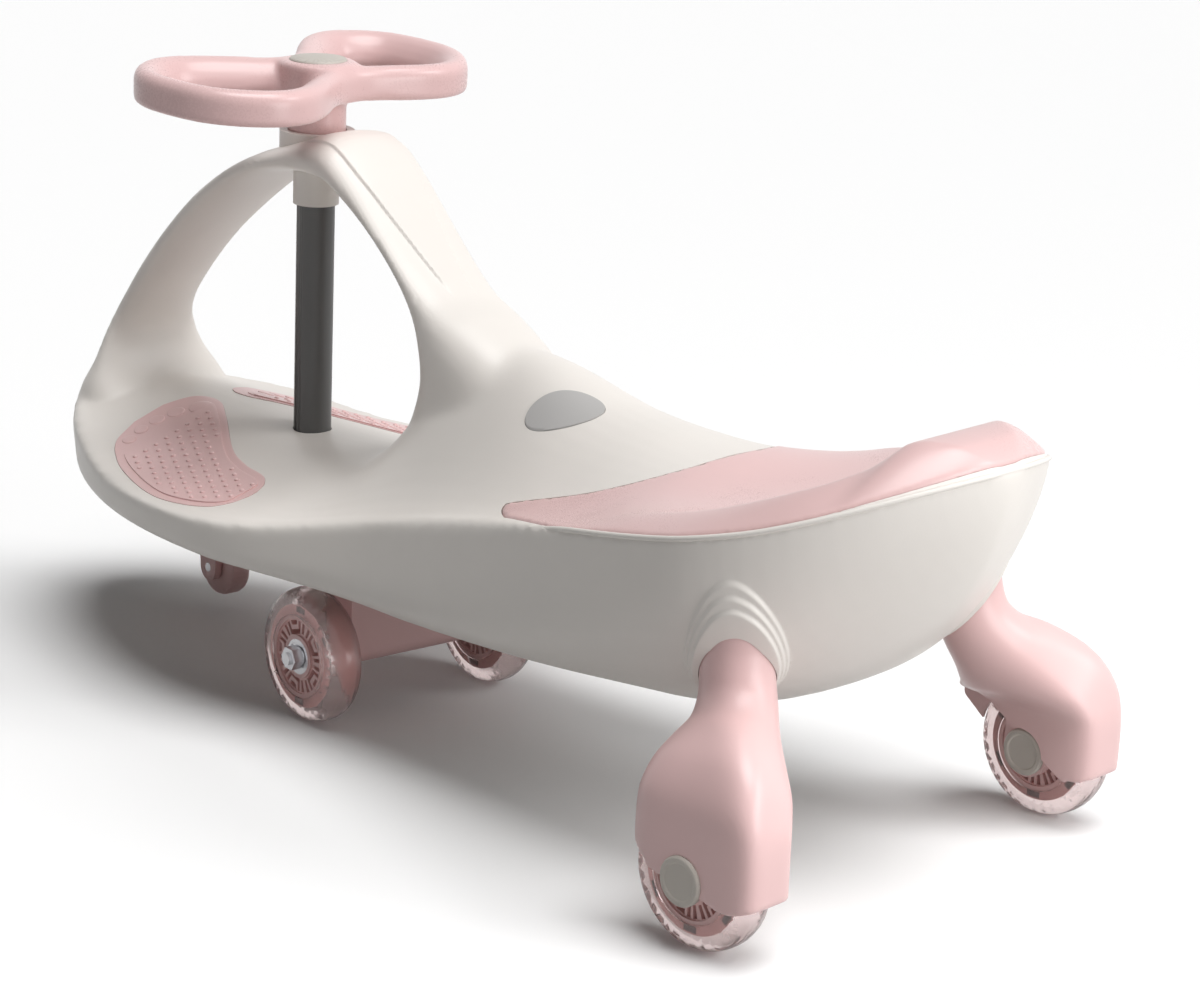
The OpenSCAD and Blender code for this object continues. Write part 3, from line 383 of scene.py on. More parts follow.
# Sections of the arch: inner point and outer point from the column, and half width
arch_sections = [
    ((112, 132), (192, 114), 60), ((138, 152), (188, 146), 56), ((153, 170), (178, 167), 45),
    ((157, 187), (172, 188), 37), ((148, 204), (164, 210), 31), ((127, 230), (143, 240), 30),
    ((103, 257), (116, 268), 32), ((73, 283), (84, 296), 35), ((45, 303), (53, 317), 36),
    ((20, 315), (26, 330), 37), ((0, 320), (2, 338), 38), ((-20, 321), (-20, 345), 38),
    ((-40, 318), (-44, 346), 37), ((-58, 309), (-68, 328), 35), ((-78, 296), (-92, 304), 33),
    ((-98, 277), (-117, 280), 32), ((-114, 254), (-138, 265), 33), ((-121, 230), (-164, 255), 37),
    ((-119, 206), (-198, 236), 40), ((-107, 178), (-220, 212), 42), ((-92, 152), (-236, 182), 42)]


def arch_ring(inner, outer, half):
    a = Vector((column_x + inner[0], 0, inner[1]))
    b = Vector((column_x + outer[0], 0, outer[1]))
    ring = []
    for j in range(48):
        turn = math.tau * j / 48
        spot = (a + b) / 2 + (b - a) / 2 * signed_power(math.cos(turn), 0.9)
        ring.append((spot.x, -half * signed_power(math.sin(turn), 0.9), spot.z))
    return ring


strap = loft("strap", spline_rings([arch_ring(*s) for s in arch_sections], 6))
carve(hull, duplicate(strap, "arch"), "UNION")
blend_surface(hull, 2.5, 5)


# The rim and the lower edge of the skirt are rolled
def rolled_edge(x, y, z):
    front_part = x - rear_x - 170
    if front_part <= 0:
        return 0
    below = ease((skirt_z + 16 - z) / 8) if x > waist_x - 40 else 0
    from_rim = math.hypot(abs(y) - half_w(x), z - rim_z(x))
    return max(below, ease((10 - from_rim) / 5) * ease(front_part / 50))


# The arch runs into the saddle and the nose over wide fillets, so those places are smoothed more
fillets = [
    ((column_x - 200, 0, 228), 85), ((column_x + 160, 0, 156), 56), ((column_x - 108, 0, 172), 48)]


def in_fillet(*place):
    share = 0
    for spot, reach in fillets:
        away = (Vector(place) - Vector(spot)).length
        if away < reach:
            share = ease(1.5 - 1.5 * away / reach)
    return share


# Above its fillets the arch keeps the form of its sections
def on_strap(x, y, z):
    return ease((z - 200) / 40) if abs(y) < 45 and -125 < x - column_x < 175 else 0


apply_where(hull, rolled_edge, "SMOOTH", factor=0.5, iterations=20)
apply_where(hull, in_fillet, "SMOOTH", factor=0.5, iterations=40)
apply_where(hull, on_strap, "SHRINKWRAP", target=strap, wrap_method="NEAREST_SURFACEPOINT")
bpy.data.objects.remove(strap)

# Three low ripples ring the place where each leg enters
root_x, root_y, root_r = rear_x + 29, rear_y - 50, 20
ripple_low, ripple_mid, ripple_high = 96, 142, 222
ripple_step, ripple_stretch, ripple_edge, ripple_rise = 2.4, 3.5, 1.4, 1.9
make_active(hull)
bpy.ops.object.mode_set(mode="EDIT")
bpy.ops.mesh.select_all(action="DESELECT")
hull_mesh = bmesh.from_edit_mesh(hull.data)
for face in hull_mesh.faces:
    x, y, z = face.calc_center_median() / mm
    near_leg = math.hypot(x - root_x, abs(y) - root_y) < root_r + 17 and ripple_low < z < ripple_high
    facing_back = face.normal.z - face.normal.x > 0.7
    on_limb = abs(y) < 34 and -150 < x - column_x < -16 and facing_back and z > 215
    face.select_set(near_leg or on_limb)
hull_mesh.select_flush(True)
bmesh.update_edit_mesh(hull.data)
bpy.ops.mesh.subdivide(number_cuts=2)
bpy.ops.object.mode_set(mode="OBJECT")
outward = [vert.normal.copy() for vert in hull.data.vertices]
for vert, normal in zip(hull.data.vertices, outward):
    x, y, z = vert.co / mm
    away = math.hypot(x - root_x, abs(y) - root_y)
    if away < root_r + 14 and ripple_low < z < ripple_high:
        step = 0.0
        for i in (1, 2, 3):
            ring = root_r + 10 - ripple_step * i
            tall = unit(1 - ((z - ripple_mid) / (ripple_stretch * ring)) ** 2) ** 0.5
            step += ease((ring * tall - away) / ripple_edge + 0.5)
        vert.co += normal * (ripple_rise * step * mm)

# A low raised band runs down the back of the rear limb
band_top, band_foot, band_edge, band_rise = 25, 9, 1.6, 1.5
for vert, normal in zip(hull.data.vertices, outward):
    x, y, z = vert.co / mm
    back = column_x - x
    if 10 < back < 150 and z > 215 and normal.z - normal.x > 0.7:
        band = mix(band_top, band_foot, ease((back - 45) / 95))
        side = ease((band - abs(y)) / band_edge + 0.5)
        along = ease((back - 14) / 10) * ease((142 - back) / 25)
        vert.co += normal * (band_rise * side * along * mm)


# A thin bead stands along the rim of the seat and sinks into the flank beside the saddle
def rim_bead():
    bead_r, steps = 1.6, 120
    turns = [math.tau * j / 10 for j in range(10)]
    path = []
    for i in range(-steps, steps + 1):
        x = tail_x + 2.2 + (rear_x + 235 - tail_x) * (i / steps) ** 2
        sink = ease((x - rear_x - 130) / 70)
        y = math.copysign(max(0, half_w(x) - 1.3 - 4.5 * sink), i)
        path.append(Vector((x, y, rim_z(x) + 0.1 - 5 * sink)))
    rings = []
    for i, spot in enumerate(path):
        ahead = (path[min(2 * steps, i + 1)] - path[max(0, i - 1)]).normalized()
        out = ahead.cross(Vector((0, 0, 1))).normalized()
        over = out.cross(ahead)
        rings.append([tuple(spot + out * bead_r * math.cos(t) + over * bead_r * math.sin(t)) for t in turns])
    return loft("rim_bead", rings)


carve(hull, rim_bead(), "UNION")

# The platform is hollow, with a boss around the column
carve(hull, loft("platform_hollow", [hollow_ring(x) for x in hollow_stations]))
carve(hull, upright_drum("column_boss", column_x, 0, skirt_z + 4, deck_z - 4, 19.4), "UNION")

# Pockets and bores: thickness of each pad, how far it stands proud and the room under it
pad_t, pad_proud, pad_room = 6, 0.8, 1
foot_t, foot_proud, foot_room = 4, 0.4, 0.6
badge_t, badge_proud, badge_room = 2.5, 0.5, 0.2
plug_low, plug_top = 145, 187.8
pad_margin = 2.9


def pad_half_w(x, grow):
    """Half width of the seat pad's outline, which runs at a margin inside the rim."""
    margin = pad_margin - grow + 7 * ease((x - rear_x - 140) / 75)
    if x < seat_x:
        t = min(1, (seat_x - x) / (seat_x - tail_x - pad_margin + grow))
        return (seat_w / 2 - margin) * (1 - t ** 1.7) ** (1 / 1.7)
    return half_w(x) - margin


def pad_rows(grow, lift):
    """Rows of the pad, whose front edge runs forward into a horn near each side."""
    horn_at = 0.86
    rows = []
    rear = tail_x + pad_margin - grow + 0.3
    for i in range(101):
        row = []
        for j in range(-36, 37):
            v = signed_power(j / 36, 0.8)
            horn = 92 * min(1, abs(v) / horn_at) ** 3
            corner = 16 * (max(0, abs(v) - horn_at) / (1 - horn_at)) ** 2
            front = rear_x + 127 + horn - corner + grow
            x = mix(rear, front, (i / 100) ** 1.6)
            y = v * pad_half_w(x, grow)
            row.append((x, y, deck_at(x, y) + lift))
        rows.append(row)
    return rows


# Outline of a foot pad: distance forward of the column and from the middle of the car
foot_inner = [
    (-45, 84), (-42, 76), (-33, 68.5), (-10, 63), (15, 53), (57, 24), (80, 11), (98, 16), (106, 36)]
foot_outer = [
    (-45, 91), (-42, 102), (-33, 113.5), (-10, 120), (15, 119), (57, 106), (80, 95), (98, 80), (106, 60)]
heel, toe_end = foot_inner[0][0], foot_inner[-1][0]


def foot_rows(side, grow, lift, ahead=toe_end):
    rows = []
    for i in range(61):
        x = mix(heel - grow, ahead + grow, (1 - math.cos(math.pi * i / 60)) / 2)
        low, high = curve(foot_inner, x) - grow, curve(foot_outer, x) + grow
        row = []
        for j in range(31):
            y = mix(low, high, j / 30)
            row.append((column_x + x, side * y, deck_at(column_x + x, y) + lift))
        rows.append(row)
    return rows


def badge_rows(grow, lift):
    rows = []
    turn = math.radians(32)
    for i in range(41):
        u = -math.cos(math.pi * (i + 0.25) / 40.5)
        s = math.sqrt(1 - u * u)
        row = []
        for j in range(-8, 9):
            along, over = (23.5 + grow) * u, (12.5 + grow) * s * j / 8
            x = rear_x + 232 + along * math.cos(turn) - over * math.sin(turn)
            y = 27 + along * math.sin(turn) + over * math.cos(turn)
            row.append((x, y, deck_at(x, y) + lift))
        rows.append(row)
    return rows


# Sections of a leg: middle from the axle, from the wheel's middle and from the floor, half length,
# half width, lean, sweep, roundness and slant of the front edge
leg_sections = [
    ((29, -50, 150), 20, 20, 0, 0, 1, 0), ((27, -49, 136), 20.5, 20.5, 8, 8, 1, 0),
    ((23, -46, 122), 22, 21, 24, 18, 1, 0), ((17, -38, 109), 26, 22.5, 38, 20, 0.95, 0),
    ((10, -27, 100), 32, 25, 42, 14, 0.75, 4), ((3, -15, 91), 38, 25.5, 32, 7, 0.58, 9),
    ((-1, -6.5, 80), 41, 24, 16, 3, 0.48, 14), ((-3, -3.5, 66), 42, 21.5, 0, 0, 0.42, 18),
    ((-3, -3.5, 30), 42, 21.5, 0, 0, 0.42, 18)]


def leg_ring(section, grow, dip):
    (mid_x, mid_y, mid_z), long, wide, lean, sweep, roundness, slant = section
    lean, sweep = math.radians(lean), math.radians(sweep)
    ring = []
    for j in range(72):
        turn = math.tau * j / 72
        u = (long + grow) * signed_power(math.cos(turn), roundness)
        v = (wide + grow) * signed_power(math.sin(turn), roundness)
        x = mid_x + u * math.cos(sweep) + v * math.sin(lean) * math.sin(sweep)
        x += slant * (1 - v / wide) / 2 * unit((u + long) / long / 2)
        y = mid_y + v * math.cos(lean)
        z = mid_z - u * math.sin(sweep) + v * math.sin(lean) * math.cos(sweep)
        ring.append((rear_x + x, rear_y + y, z + dip * (x + 16) ** 2))
    return ring


def leg_rings(count, grow):
    rings = [leg_ring(s, grow, 0.007 if i == 8 else 0) for i, s in enumerate(leg_sections[:count])]
    return spline_rings(rings, 5)


def to_other_side(piece):
    """Turns a piece of the left side into the right one."""
    for vert in piece.data.vertices:
        vert.co.y = -vert.co.y
    make_active(piece)
    bpy.ops.object.mode_set(mode="EDIT")
    bpy.ops.mesh.select_all(action="SELECT")
    bpy.ops.mesh.flip_normals()
    bpy.ops.object.mode_set(mode="OBJECT")


carve(hull, raised("seat_pocket", pad_rows(0.3, pad_proud - pad_t - pad_room), 46))
for side in (1, -1):
    carve(hull, raised("foot_pocket", foot_rows(side, 0.3, foot_proud - foot_t - foot_room), 34))
carve(hull, raised("badge_pocket", badge_rows(0.25, badge_proud - badge_t - badge_room), 22))
carve(hull, upright_drum("deck_bore", column_x, 0, 60, deck_z - 6, sleeve_r + 0.25))
carve(hull, upright_drum("column_bore", column_x, 0, 60, deck_z + 20, tube_r + 0.5))
carve(hull, upright_drum("head_bore", column_x, 0, sleeve_low - 0.2, 360, sleeve_r + 0.25))
carve(hull, upright_drum("collar_bore", column_x, 0, collar_low - 0.4, 380, collar_r + 0.2))
for side in (1, -1):
    socket = loft("leg_socket", leg_rings(5, 0.4))
    plug_hole = upright_drum("plug_hole", root_x, root_y, plug_low, plug_top + 0.5, root_r + 0.3)
    if side < 0:
        to_other_side(socket)
        to_other_side(plug_hole)
    carve(hull, socket)
    carve(hull, plug_hole)


def smooth_shading(piece, degrees):
    make_active(piece)
    bpy.ops.object.shade_smooth_by_angle(angle=math.radians(degrees), keep_sharp_edges=False)


# Flat places need fewer faces
apply_modifier(hull, "DECIMATE", ratio=0.64)
smooth_shading(hull, 38)

# Moulded plastic: a faint cloud in the colour, a fine grain and small changes of gloss
mould_skin = bpy.data.node_groups.new("mould_skin", "ShaderNodeTree")
for label, way, kind in [
        ("Tint", "INPUT", "Color"), ("Cloud", "INPUT", "Float"), ("Gloss", "INPUT", "Float"),
        ("Grain", "INPUT", "Float"), ("Color", "OUTPUT", "Color"), ("Roughness", "OUTPUT", "Float"),
        ("Height", "OUTPUT", "Float")]:
    mould_skin.interface.new_socket(label, in_out=way, socket_type="NodeSocket" + kind)


def add_node(tree, kind, **values):
    """Node whose named values are input sockets if there are such, and settings if not."""
    node = tree.nodes.new(kind)
    for key, value in values.items():
        socket = key.replace("_", " ")
        if socket in node.inputs:
            node.inputs[socket].default_value = value
        else:
            setattr(node, key, value)
    return node


group_in = mould_skin.nodes.new("NodeGroupInput")
group_out = mould_skin.nodes.new("NodeGroupOutput")
place = mould_skin.nodes.new("ShaderNodeTexCoord")
cloud = add_node(mould_skin, "ShaderNodeTexNoise", Scale=11.0, Detail=4.0, Roughness=0.55)
grain = add_node(mould_skin, "ShaderNodeTexNoise", Detail=3.0, Roughness=0.6)
light_share = add_node(mould_skin, "ShaderNodeMath", operation="MULTIPLY_ADD")
light_share.inputs[2].default_value = 1.0
cloud_shift = add_node(mould_skin, "ShaderNodeMath", operation="SUBTRACT")
cloud_shift.inputs[1].default_value = 0.5
tint_shift = add_node(mould_skin, "ShaderNodeHueSaturation")
gloss_shift = add_node(mould_skin, "ShaderNodeMath", operation="MULTIPLY_ADD")
gloss_shift.inputs[1].default_value = 0.12
grain_shift = add_node(mould_skin, "ShaderNodeMath", operation="MULTIPLY_ADD")
grain_shift.inputs[1].default_value = 0.10
wire = mould_skin.links.new
wire(place.outputs["Object"], cloud.inputs["Vector"])
wire(place.outputs["Object"], grain.inputs["Vector"])
wire(group_in.outputs["Grain"], grain.inputs["Scale"])
wire(cloud.outputs["Fac"], cloud_shift.inputs[0])
wire(cloud_shift.outputs[0], light_share.inputs[0])
wire(group_in.outputs["Cloud"], light_share.inputs[1])
wire(group_in.outputs["Tint"], tint_shift.inputs["Color"])
wire(light_share.outputs[0], tint_shift.inputs["Value"])
wire(tint_shift.outputs["Color"], group_out.inputs["Color"])
wire(cloud_shift.outputs[0], gloss_shift.inputs[0])
wire(group_in.outputs["Gloss"], gloss_shift.inputs[2])
wire(grain.outputs["Fac"], grain_shift.inputs[0])
wire(gloss_shift.outputs[0], grain_shift.inputs[2])
wire(grain_shift.outputs[0], group_out.inputs["Roughness"])
wire(grain.outputs["Fac"], group_out.inputs["Height"])


def moulded(name, tint, gloss, grain_scale, depth, clouds=0.10):
    """Plastic finish: colour, roughness, grain per metre and depth of the grain in millimetres."""
    finish = bpy.data.materials.new(name)
    finish.use_nodes = True
    tree = finish.node_tree
    shader = tree.nodes["Principled BSDF"]
    skin = tree.nodes.new("ShaderNodeGroup")
    skin.node_tree = mould_skin
    skin.inputs["Tint"].default_value = (*tint, 1)
    skin.inputs["Cloud"].default_value = clouds
    skin.inputs["Gloss"].default_value = gloss
    skin.inputs["Grain"].default_value = grain_scale
    bump = add_node(tree, "ShaderNodeBump", Strength=1.0, Distance=depth * mm)
    tree.links.new(skin.outputs["Color"], shader.inputs["Base Color"])
    tree.links.new(skin.outputs["Roughness"], shader.inputs["Roughness"])
    tree.links.new(skin.outputs["Height"], bump.inputs["Height"])
    tree.links.new(bump.outputs["Normal"], shader.inputs["Normal"])
    return finish


def dress(piece, finish, body, slot, *nodes):
    """Gives a piece its finish, its body and the nodes that it stands for."""
    piece.data.materials.clear()
    piece.data.materials.append(finish)
    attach(piece, body)
    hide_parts(*nodes)


cream_plastic = moulded("cream_plastic", (0.80, 0.76, 0.715), 0.36, 900.0, 0.03)
dress(hull, cream_plastic, "body", "cream_plastic", "body_shell")


# Seat pad
# A soft moulded pad that fills the seat from rim to rim and up to the foot of the saddle.
# It is pressed into a shallow pocket and stands a hair proud, with a rolled edge.
seat_pad = raised("seat_cushion", pad_rows(0, pad_proud - pad_t), pad_t)
blend_surface(seat_pad, 1.7, 6)
smooth_shading(seat_pad, 60)
pink_soft = moulded("pink_soft", (0.75, 0.51, 0.50), 0.24, 1500.0, 0.04)
dress(seat_pad, pink_soft, "body", "pink_soft", "seat_pad")


# Foot pads
# Two soft mats in the outline of a foot, glued into pockets of the platform. A raised tread with
# low nubs and five flat toe discs stand on each for grip.
# Place of each toe forward of the column and from the middle of the car, and its radius
toes = [(91, 76, 4.6), (94, 64, 4.6), (94, 51, 5.2), (90, 38.5, 5.8), (81, 25, 8)]
tread_h, tread_margin, tread_end = 1.3, 6, 84
nub_r, nub_pitch, nub_row, nub_margin = 1.7, 7.5, 8.5, 9


def round_edges(piece, width, degrees):
    """Bevels the edges that are sharper than an angle, by a width in millimetres."""
    apply_modifier(piece, "BEVEL", width=width * mm, segments=3, limit_method="ANGLE",
                   angle_limit=math.radians(degrees))


def foot_mat(name, side):
    mat = raised(name, foot_rows(side, 0, foot_proud - foot_t), foot_t)
    round_edges(mat, 1.2, 55)
    tread = raised("tread", foot_rows(side, -tread_margin, 0, tread_end), tread_h)
    round_edges(tread, 0.7, 55)
    studs = [tread]
    for i in range(16):
        for j in range(14):
            x = -36 + nub_pitch * i
            y = 12 + nub_row * (j + (i % 2) / 2)
            if curve(foot_inner, x) + nub_margin < y < curve(foot_outer, x) - nub_margin and x < 74:
                spot = Vector((column_x + x, side * y, deck_at(column_x + x, y) + tread_h))
                bpy.ops.object.select_all(action="DESELECT")
                bpy.ops.mesh.primitive_uv_sphere_add(
                    segments=12, ring_count=8, radius=nub_r * mm, location=spot * mm, scale=(1, 1, 0.65))
                studs.append(bpy.context.object)
    for x, y, r in toes:
        bpy.ops.object.select_all(action="DESELECT")
        bpy.ops.mesh.primitive_uv_sphere_add(segments=40, ring_count=24, radius=1, location=(0, 0, 0))
        toe = bpy.context.object
        for vert in toe.data.vertices:
            along, over = column_x + x + r * vert.co.x, y + r * vert.co.y
            height = deck_at(along, over) + 0.3 + 1.1 * signed_power(vert.co.z, 0.45)
            vert.co = Vector((along, side * over, height)) * mm
        face_outward(toe)
        studs.append(toe)
    make_active(mat)
    for stud in studs:
        stud.select_set(True)
    bpy.ops.object.join()
    smooth_shading(mat, 50)
    return mat


foot_rubber = moulded("foot_rubber", (0.78, 0.53, 0.52), 0.27, 1200.0, 0.05)
dress(foot_mat("foot_mat_left", 1), foot_rubber, "body", "pink_soft", "foot_pad_left")
dress(foot_mat("foot_mat_right", -1), foot_rubber, "body", "pink_soft", "foot_pad_right")


# Badge plate
# A plain oval of grey plastic with a rolled edge, glued into the left flank of the saddle.
badge = raised("oval_plate", badge_rows(0, badge_proud - badge_t), badge_t)
round_edges(badge, 0.7, 55)
smooth_shading(badge, 50)
grey_plate = moulded("grey_plate", (0.46, 0.45, 0.44), 0.34, 1400.0, 0.02)
dress(badge, grey_plate, "body", "grey_plate", "badge_plate")


# Bushes and steering column
# Cream bushes line the arch and the platform. A painted steel tube turns in them, held by a
# bolt under the steering wheel and a cross pin in the bracket.
def own_copy(node, name, soften=0.0):
    """Merged copy of a CAD node with its edges eased by a width in millimetres."""
    piece = bpy.data.objects.new(name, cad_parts[node].data.copy())
    bpy.context.collection.objects.link(piece)
    make_active(piece)
    bpy.ops.object.mode_set(mode="EDIT")
    bpy.ops.mesh.select_all(action="SELECT")
    bpy.ops.mesh.remove_doubles(threshold=1e-6)
    bpy.ops.mesh.dissolve_limited(angle_limit=math.radians(0.4))
    bpy.ops.object.mode_set(mode="OBJECT")
    if soften:
        round_edges(piece, soften, 40)
    smooth_shading(piece, 32)
    return piece


dark_tube = moulded("dark_tube", (0.095, 0.094, 0.092), 0.38, 700.0, 0.02)
collar = upright_drum("collar_bush", column_x, 0, collar_low, collar_top, collar_r, 96)
carve(collar, upright_drum("sleeve", column_x, 0, sleeve_low, 330, sleeve_r, 96), "UNION")
carve(collar, upright_drum("tube_bore", column_x, 0, 290, 360, tube_r + 0.1, 96))
carve(collar, upright_drum("neck_bore", column_x, 0, collar_floor, 360, neck_r + 0.5, 96))
round_edges(collar, 0.9, 50)
smooth_shading(collar, 40)
dress(collar, cream_plastic, "body", "cream_plastic", "head_bush")
dress(own_copy("deck_bush", "platform_bush"), cream_plastic, "body", "cream_plastic", "deck_bush")
dress(own_copy("steering_column", "column_tube"), dark_tube, "steering", "dark_tube", "steering_column")


# Steering wheel
# A butterfly-shaped moulding in glossy pink plastic: two finger loops, a waist at the hub and a
# neck that drops into the collar. Each loop has an upright outer wall and slopes inward.
hub_z, half_len, rim_w, cap_r = 388, 124, 23, 18
waist_half, loop_half, loop_reach = 16.2, 59, 88.6
hand_sweep, hand_tilt, hand_turn = math.radians(6.6), math.radians(3.5), math.radians(8.7)
rim_top = hub_z - 0.8
# Section of the rim: distance from its middle line and depth below its top
rim_outline = [
    (11.5, 18.6), (11.5, 13.4), (11.5, 6.9), (10.6, 3.6), (8.4, 1.2), (5, 0), (1, 0.6), (-3, 2.8),
    (-7, 6.9), (-10.2, 11.7), (-11.5, 16.6), (-11, 19.8), (-8.5, 21.9), (0, 21.9), (8.5, 21.5), (10.8, 20.5)]


def rim_line(turn):
    """Middle of the rim seen from above, from the hub forward and to the left."""
    u = (half_len - rim_w / 2) * signed_power(math.cos(turn), 0.84)
    w = mix(waist_half, loop_half, ease(abs(u) / loop_reach)) * signed_power(math.sin(turn), 0.73)
    return Vector((w + (math.hypot(u, 8) - 8) * math.sin(hand_sweep), u))


def rim_rings():
    rings = []
    for i in range(193):
        turn = math.tau * (i + 0.5) / 192
        spot = rim_line(turn)
        ahead = (rim_line(turn + 0.01) - rim_line(turn - 0.01)).normalized()
        ring = []
        for r, depth in rim_outline:
            x, y = spot.x - ahead.y * r, spot.y + ahead.x * r
            ring.append((x, y, rim_top - depth + x * math.tan(hand_tilt)))
        rings.append(ring)
    return rings


def closed_loop(name, rings):
    """Tube whose last ring meets its first."""
    piece = sheet(name, [ring + ring[:1] for ring in rings])
    bpy.ops.object.mode_set(mode="EDIT")
    bpy.ops.mesh.select_all(action="SELECT")
    bpy.ops.mesh.remove_doubles(threshold=1e-5)
    bpy.ops.mesh.normals_make_consistent(inside=False)
    bpy.ops.object.mode_set(mode="OBJECT")
    return piece


hand_wheel = closed_loop("hand_wheel", rim_rings())
carve(hand_wheel, upright_drum("hub_block", 0, 0, 364, hub_z + 0.6, 24.5), "UNION")
carve(hand_wheel, upright_drum("neck", 0, 0, 339.5, hub_z - 5, neck_r), "UNION")
blend_surface(hand_wheel, 1.4, 6)


# The loops run into the hub over a wide web
def in_web(x, y, z):
    return ease((54 - math.hypot(x, y)) / 16) if z > 358 else 0


apply_where(hand_wheel, in_web, "SMOOTH", factor=0.5, iterations=30)
carve(hand_wheel, upright_drum("cap_seat", 0, 0, hub_z - 3, hub_z + 30, cap_r + 0.15))
carve(hand_wheel, upright_drum("column_socket", 0, 0, 320, 372.2, tube_r + 0.25))
to_place = Matrix.Rotation(hand_turn, 3, "Z")
for vert in hand_wheel.data.vertices:
    vert.co = to_place @ vert.co + Vector((column_x * mm, 0, 0))
smooth_shading(hand_wheel, 40)
pink_gloss = moulded("pink_gloss", (0.78, 0.53, 0.52), 0.24, 700.0, 0.015)
dress(hand_wheel, pink_gloss, "steering", "pink_gloss", "steering_wheel")

grey_caps = moulded("grey_caps", (0.54, 0.50, 0.45), 0.42, 900.0, 0.02)
dress(own_copy("steering_cap", "centre_cap", 0.4), grey_caps, "steering", "grey_caps", "steering_cap")


# Front bracket and anti-tip roller
# A ribbed moulding clamped to the column. It trails the front axle and reaches forward to a small
# roller that only meets the floor when the car tips.
pink_plastic = moulded("pink_plastic", (0.76, 0.50, 0.49), 0.38, 900.0, 0.03)
bracket = own_copy("front_bracket", "swing_bracket", 0.8)
dress(bracket, pink_plastic, "steering", "pink_plastic", "front_bracket")
tip_roller = own_copy("anti_tip_roller", "tip_roller")
dress(tip_roller, pink_plastic, "roller", "pink_plastic", "anti_tip_roller")


# Legs
# Two pink mouldings, each with a round plug up in the hull, a swept neck and a fender around its
# wheel. A bolt under the seat pad holds each plug.
def level_drum(spot, radius, length, sides=72):
    """Cylinder primitive on an axis along Y, in millimetres."""
    bpy.ops.object.select_all(action="DESELECT")
    bpy.ops.mesh.primitive_cylinder_add(vertices=sides, radius=radius * mm, depth=length * mm,
                                        location=Vector(spot) * mm, rotation=(math.pi / 2, 0, 0))
    bpy.ops.object.transform_apply(location=True, rotation=True, scale=True)
    return bpy.context.object


def cut_profile(piece, outline, y_from, y_to):
    """Cuts away an outline from the axle forward and from the floor, between two planes."""
    bpy.ops.object.select_all(action="DESELECT")
    bpy.ops.mesh.primitive_circle_add(vertices=len(outline), radius=0.1, fill_type="NGON")
    block = bpy.context.object
    for vert, (x, z) in zip(block.data.vertices, outline, strict=True):
        vert.co = Vector((rear_x + x, y_from, z)) * mm
    carve(piece, extruded(block, 0, y_to - y_from, 0))


axle_z = 42
axle_bore_r, hub_cap_r, plate_r = 4.15, 14.15, 15.5
pocket_half = 13.5
pocket_r = 43.2
inner_wall = rear_y - pocket_half
outer_y = rear_y + 18
plate_t = 6.5
plate_y = inner_wall - plate_t
# Edge of the inner flank, from the axle forward and from the floor
flank_cut = [(80, 70), (31, 72), (-30, 33), (-62, 36), (-62, -10), (80, -10)]
leg = loft("leg_left", leg_rings(9, 0))
carve(leg, upright_drum("plug", root_x, root_y, plug_low, plug_top, root_r - 0.1), "UNION")
blend_surface(leg, 1.5, 6)

# The pocket follows the rounded tread of the tyre and is open below the axle
for reach, half in ((pocket_r, 9), (pocket_r - 2.2, 11.5), (pocket_r - 5, pocket_half)):
    carve(leg, level_drum((rear_x, rear_y, axle_z), reach, 2 * half))
    below_axle = [(-reach, -10), (reach, -10), (reach, axle_z), (-reach, axle_z)]
    cut_profile(leg, below_axle, rear_y - half, rear_y + half)
cut_profile(leg, flank_cut, inner_wall - 60, inner_wall + 0.1)

# A plate on the inner flank carries the axle
axle_plate = level_drum((rear_x, (inner_wall + plate_y) / 2, axle_z), plate_r, plate_t, 64)
for vert in axle_plate.data.vertices:
    if vert.co.z > (axle_z + 4) * mm:
        vert.co.z += 24 * mm
        vert.co.x = (rear_x - 4) * mm + (vert.co.x - rear_x * mm) * 1.3
carve(leg, axle_plate, "UNION")
carve(leg, level_drum((rear_x, rear_y, axle_z), axle_bore_r, 120))
carve(leg, level_drum((rear_x, outer_y + 8, axle_z), hub_cap_r, 20))
carve(leg, level_drum((rear_x, plate_y - 10, axle_z), 15, 20))
smooth_shading(leg, 40)
other_leg = duplicate(leg, "leg_right")
to_other_side(other_leg)
leg_plastic = moulded("leg_plastic", (0.78, 0.53, 0.52), 0.30, 800.0, 0.02)
dress(leg, leg_plastic, "body", "pink_gloss", "rear_leg_left")
dress(other_leg, leg_plastic, "body", "pink_gloss", "rear_leg_right")
for place_name in ("outer_left", "outer_right", "inner_left", "inner_right"):
    node = "hub_cap_" + place_name
    dress(own_copy(node, "ring_cap_" + place_name, 0.3), grey_caps, "body", "grey_caps", node)


# Wheels
# Clear tinted tyres cast around pink cores. Each core carries two ball bearings, and light modules
# that a magnet on the axle feeds.
zinc_steel = moulded("zinc_steel", (0.60, 0.60, 0.62), 0.30, 2200.0, 0.01)
bearing_steel = moulded("bearing_steel", (0.62, 0.62, 0.64), 0.22, 3000.0, 0.005)
light_module = moulded("light_module", (0.10, 0.08, 0.08), 0.45, 1500.0, 0.02)
magnet = moulded("magnet", (0.12, 0.12, 0.13), 0.40, 1500.0, 0.02)
for metal in (zinc_steel, bearing_steel, magnet):
    metal.node_tree.nodes["Principled BSDF"].inputs["Metallic"].default_value = 1.0
pink_core = moulded("pink_core", (0.80, 0.52, 0.50), 0.28, 900.0, 0.02)
clear_tyre = moulded("clear_tyre", (0.80, 0.67, 0.66), 0.10, 300.0, 0.003)
clear_shader = clear_tyre.node_tree.nodes["Principled BSDF"]
clear_shader.inputs["Transmission Weight"].default_value = 0.9
clear_shader.inputs["IOR"].default_value = 1.45
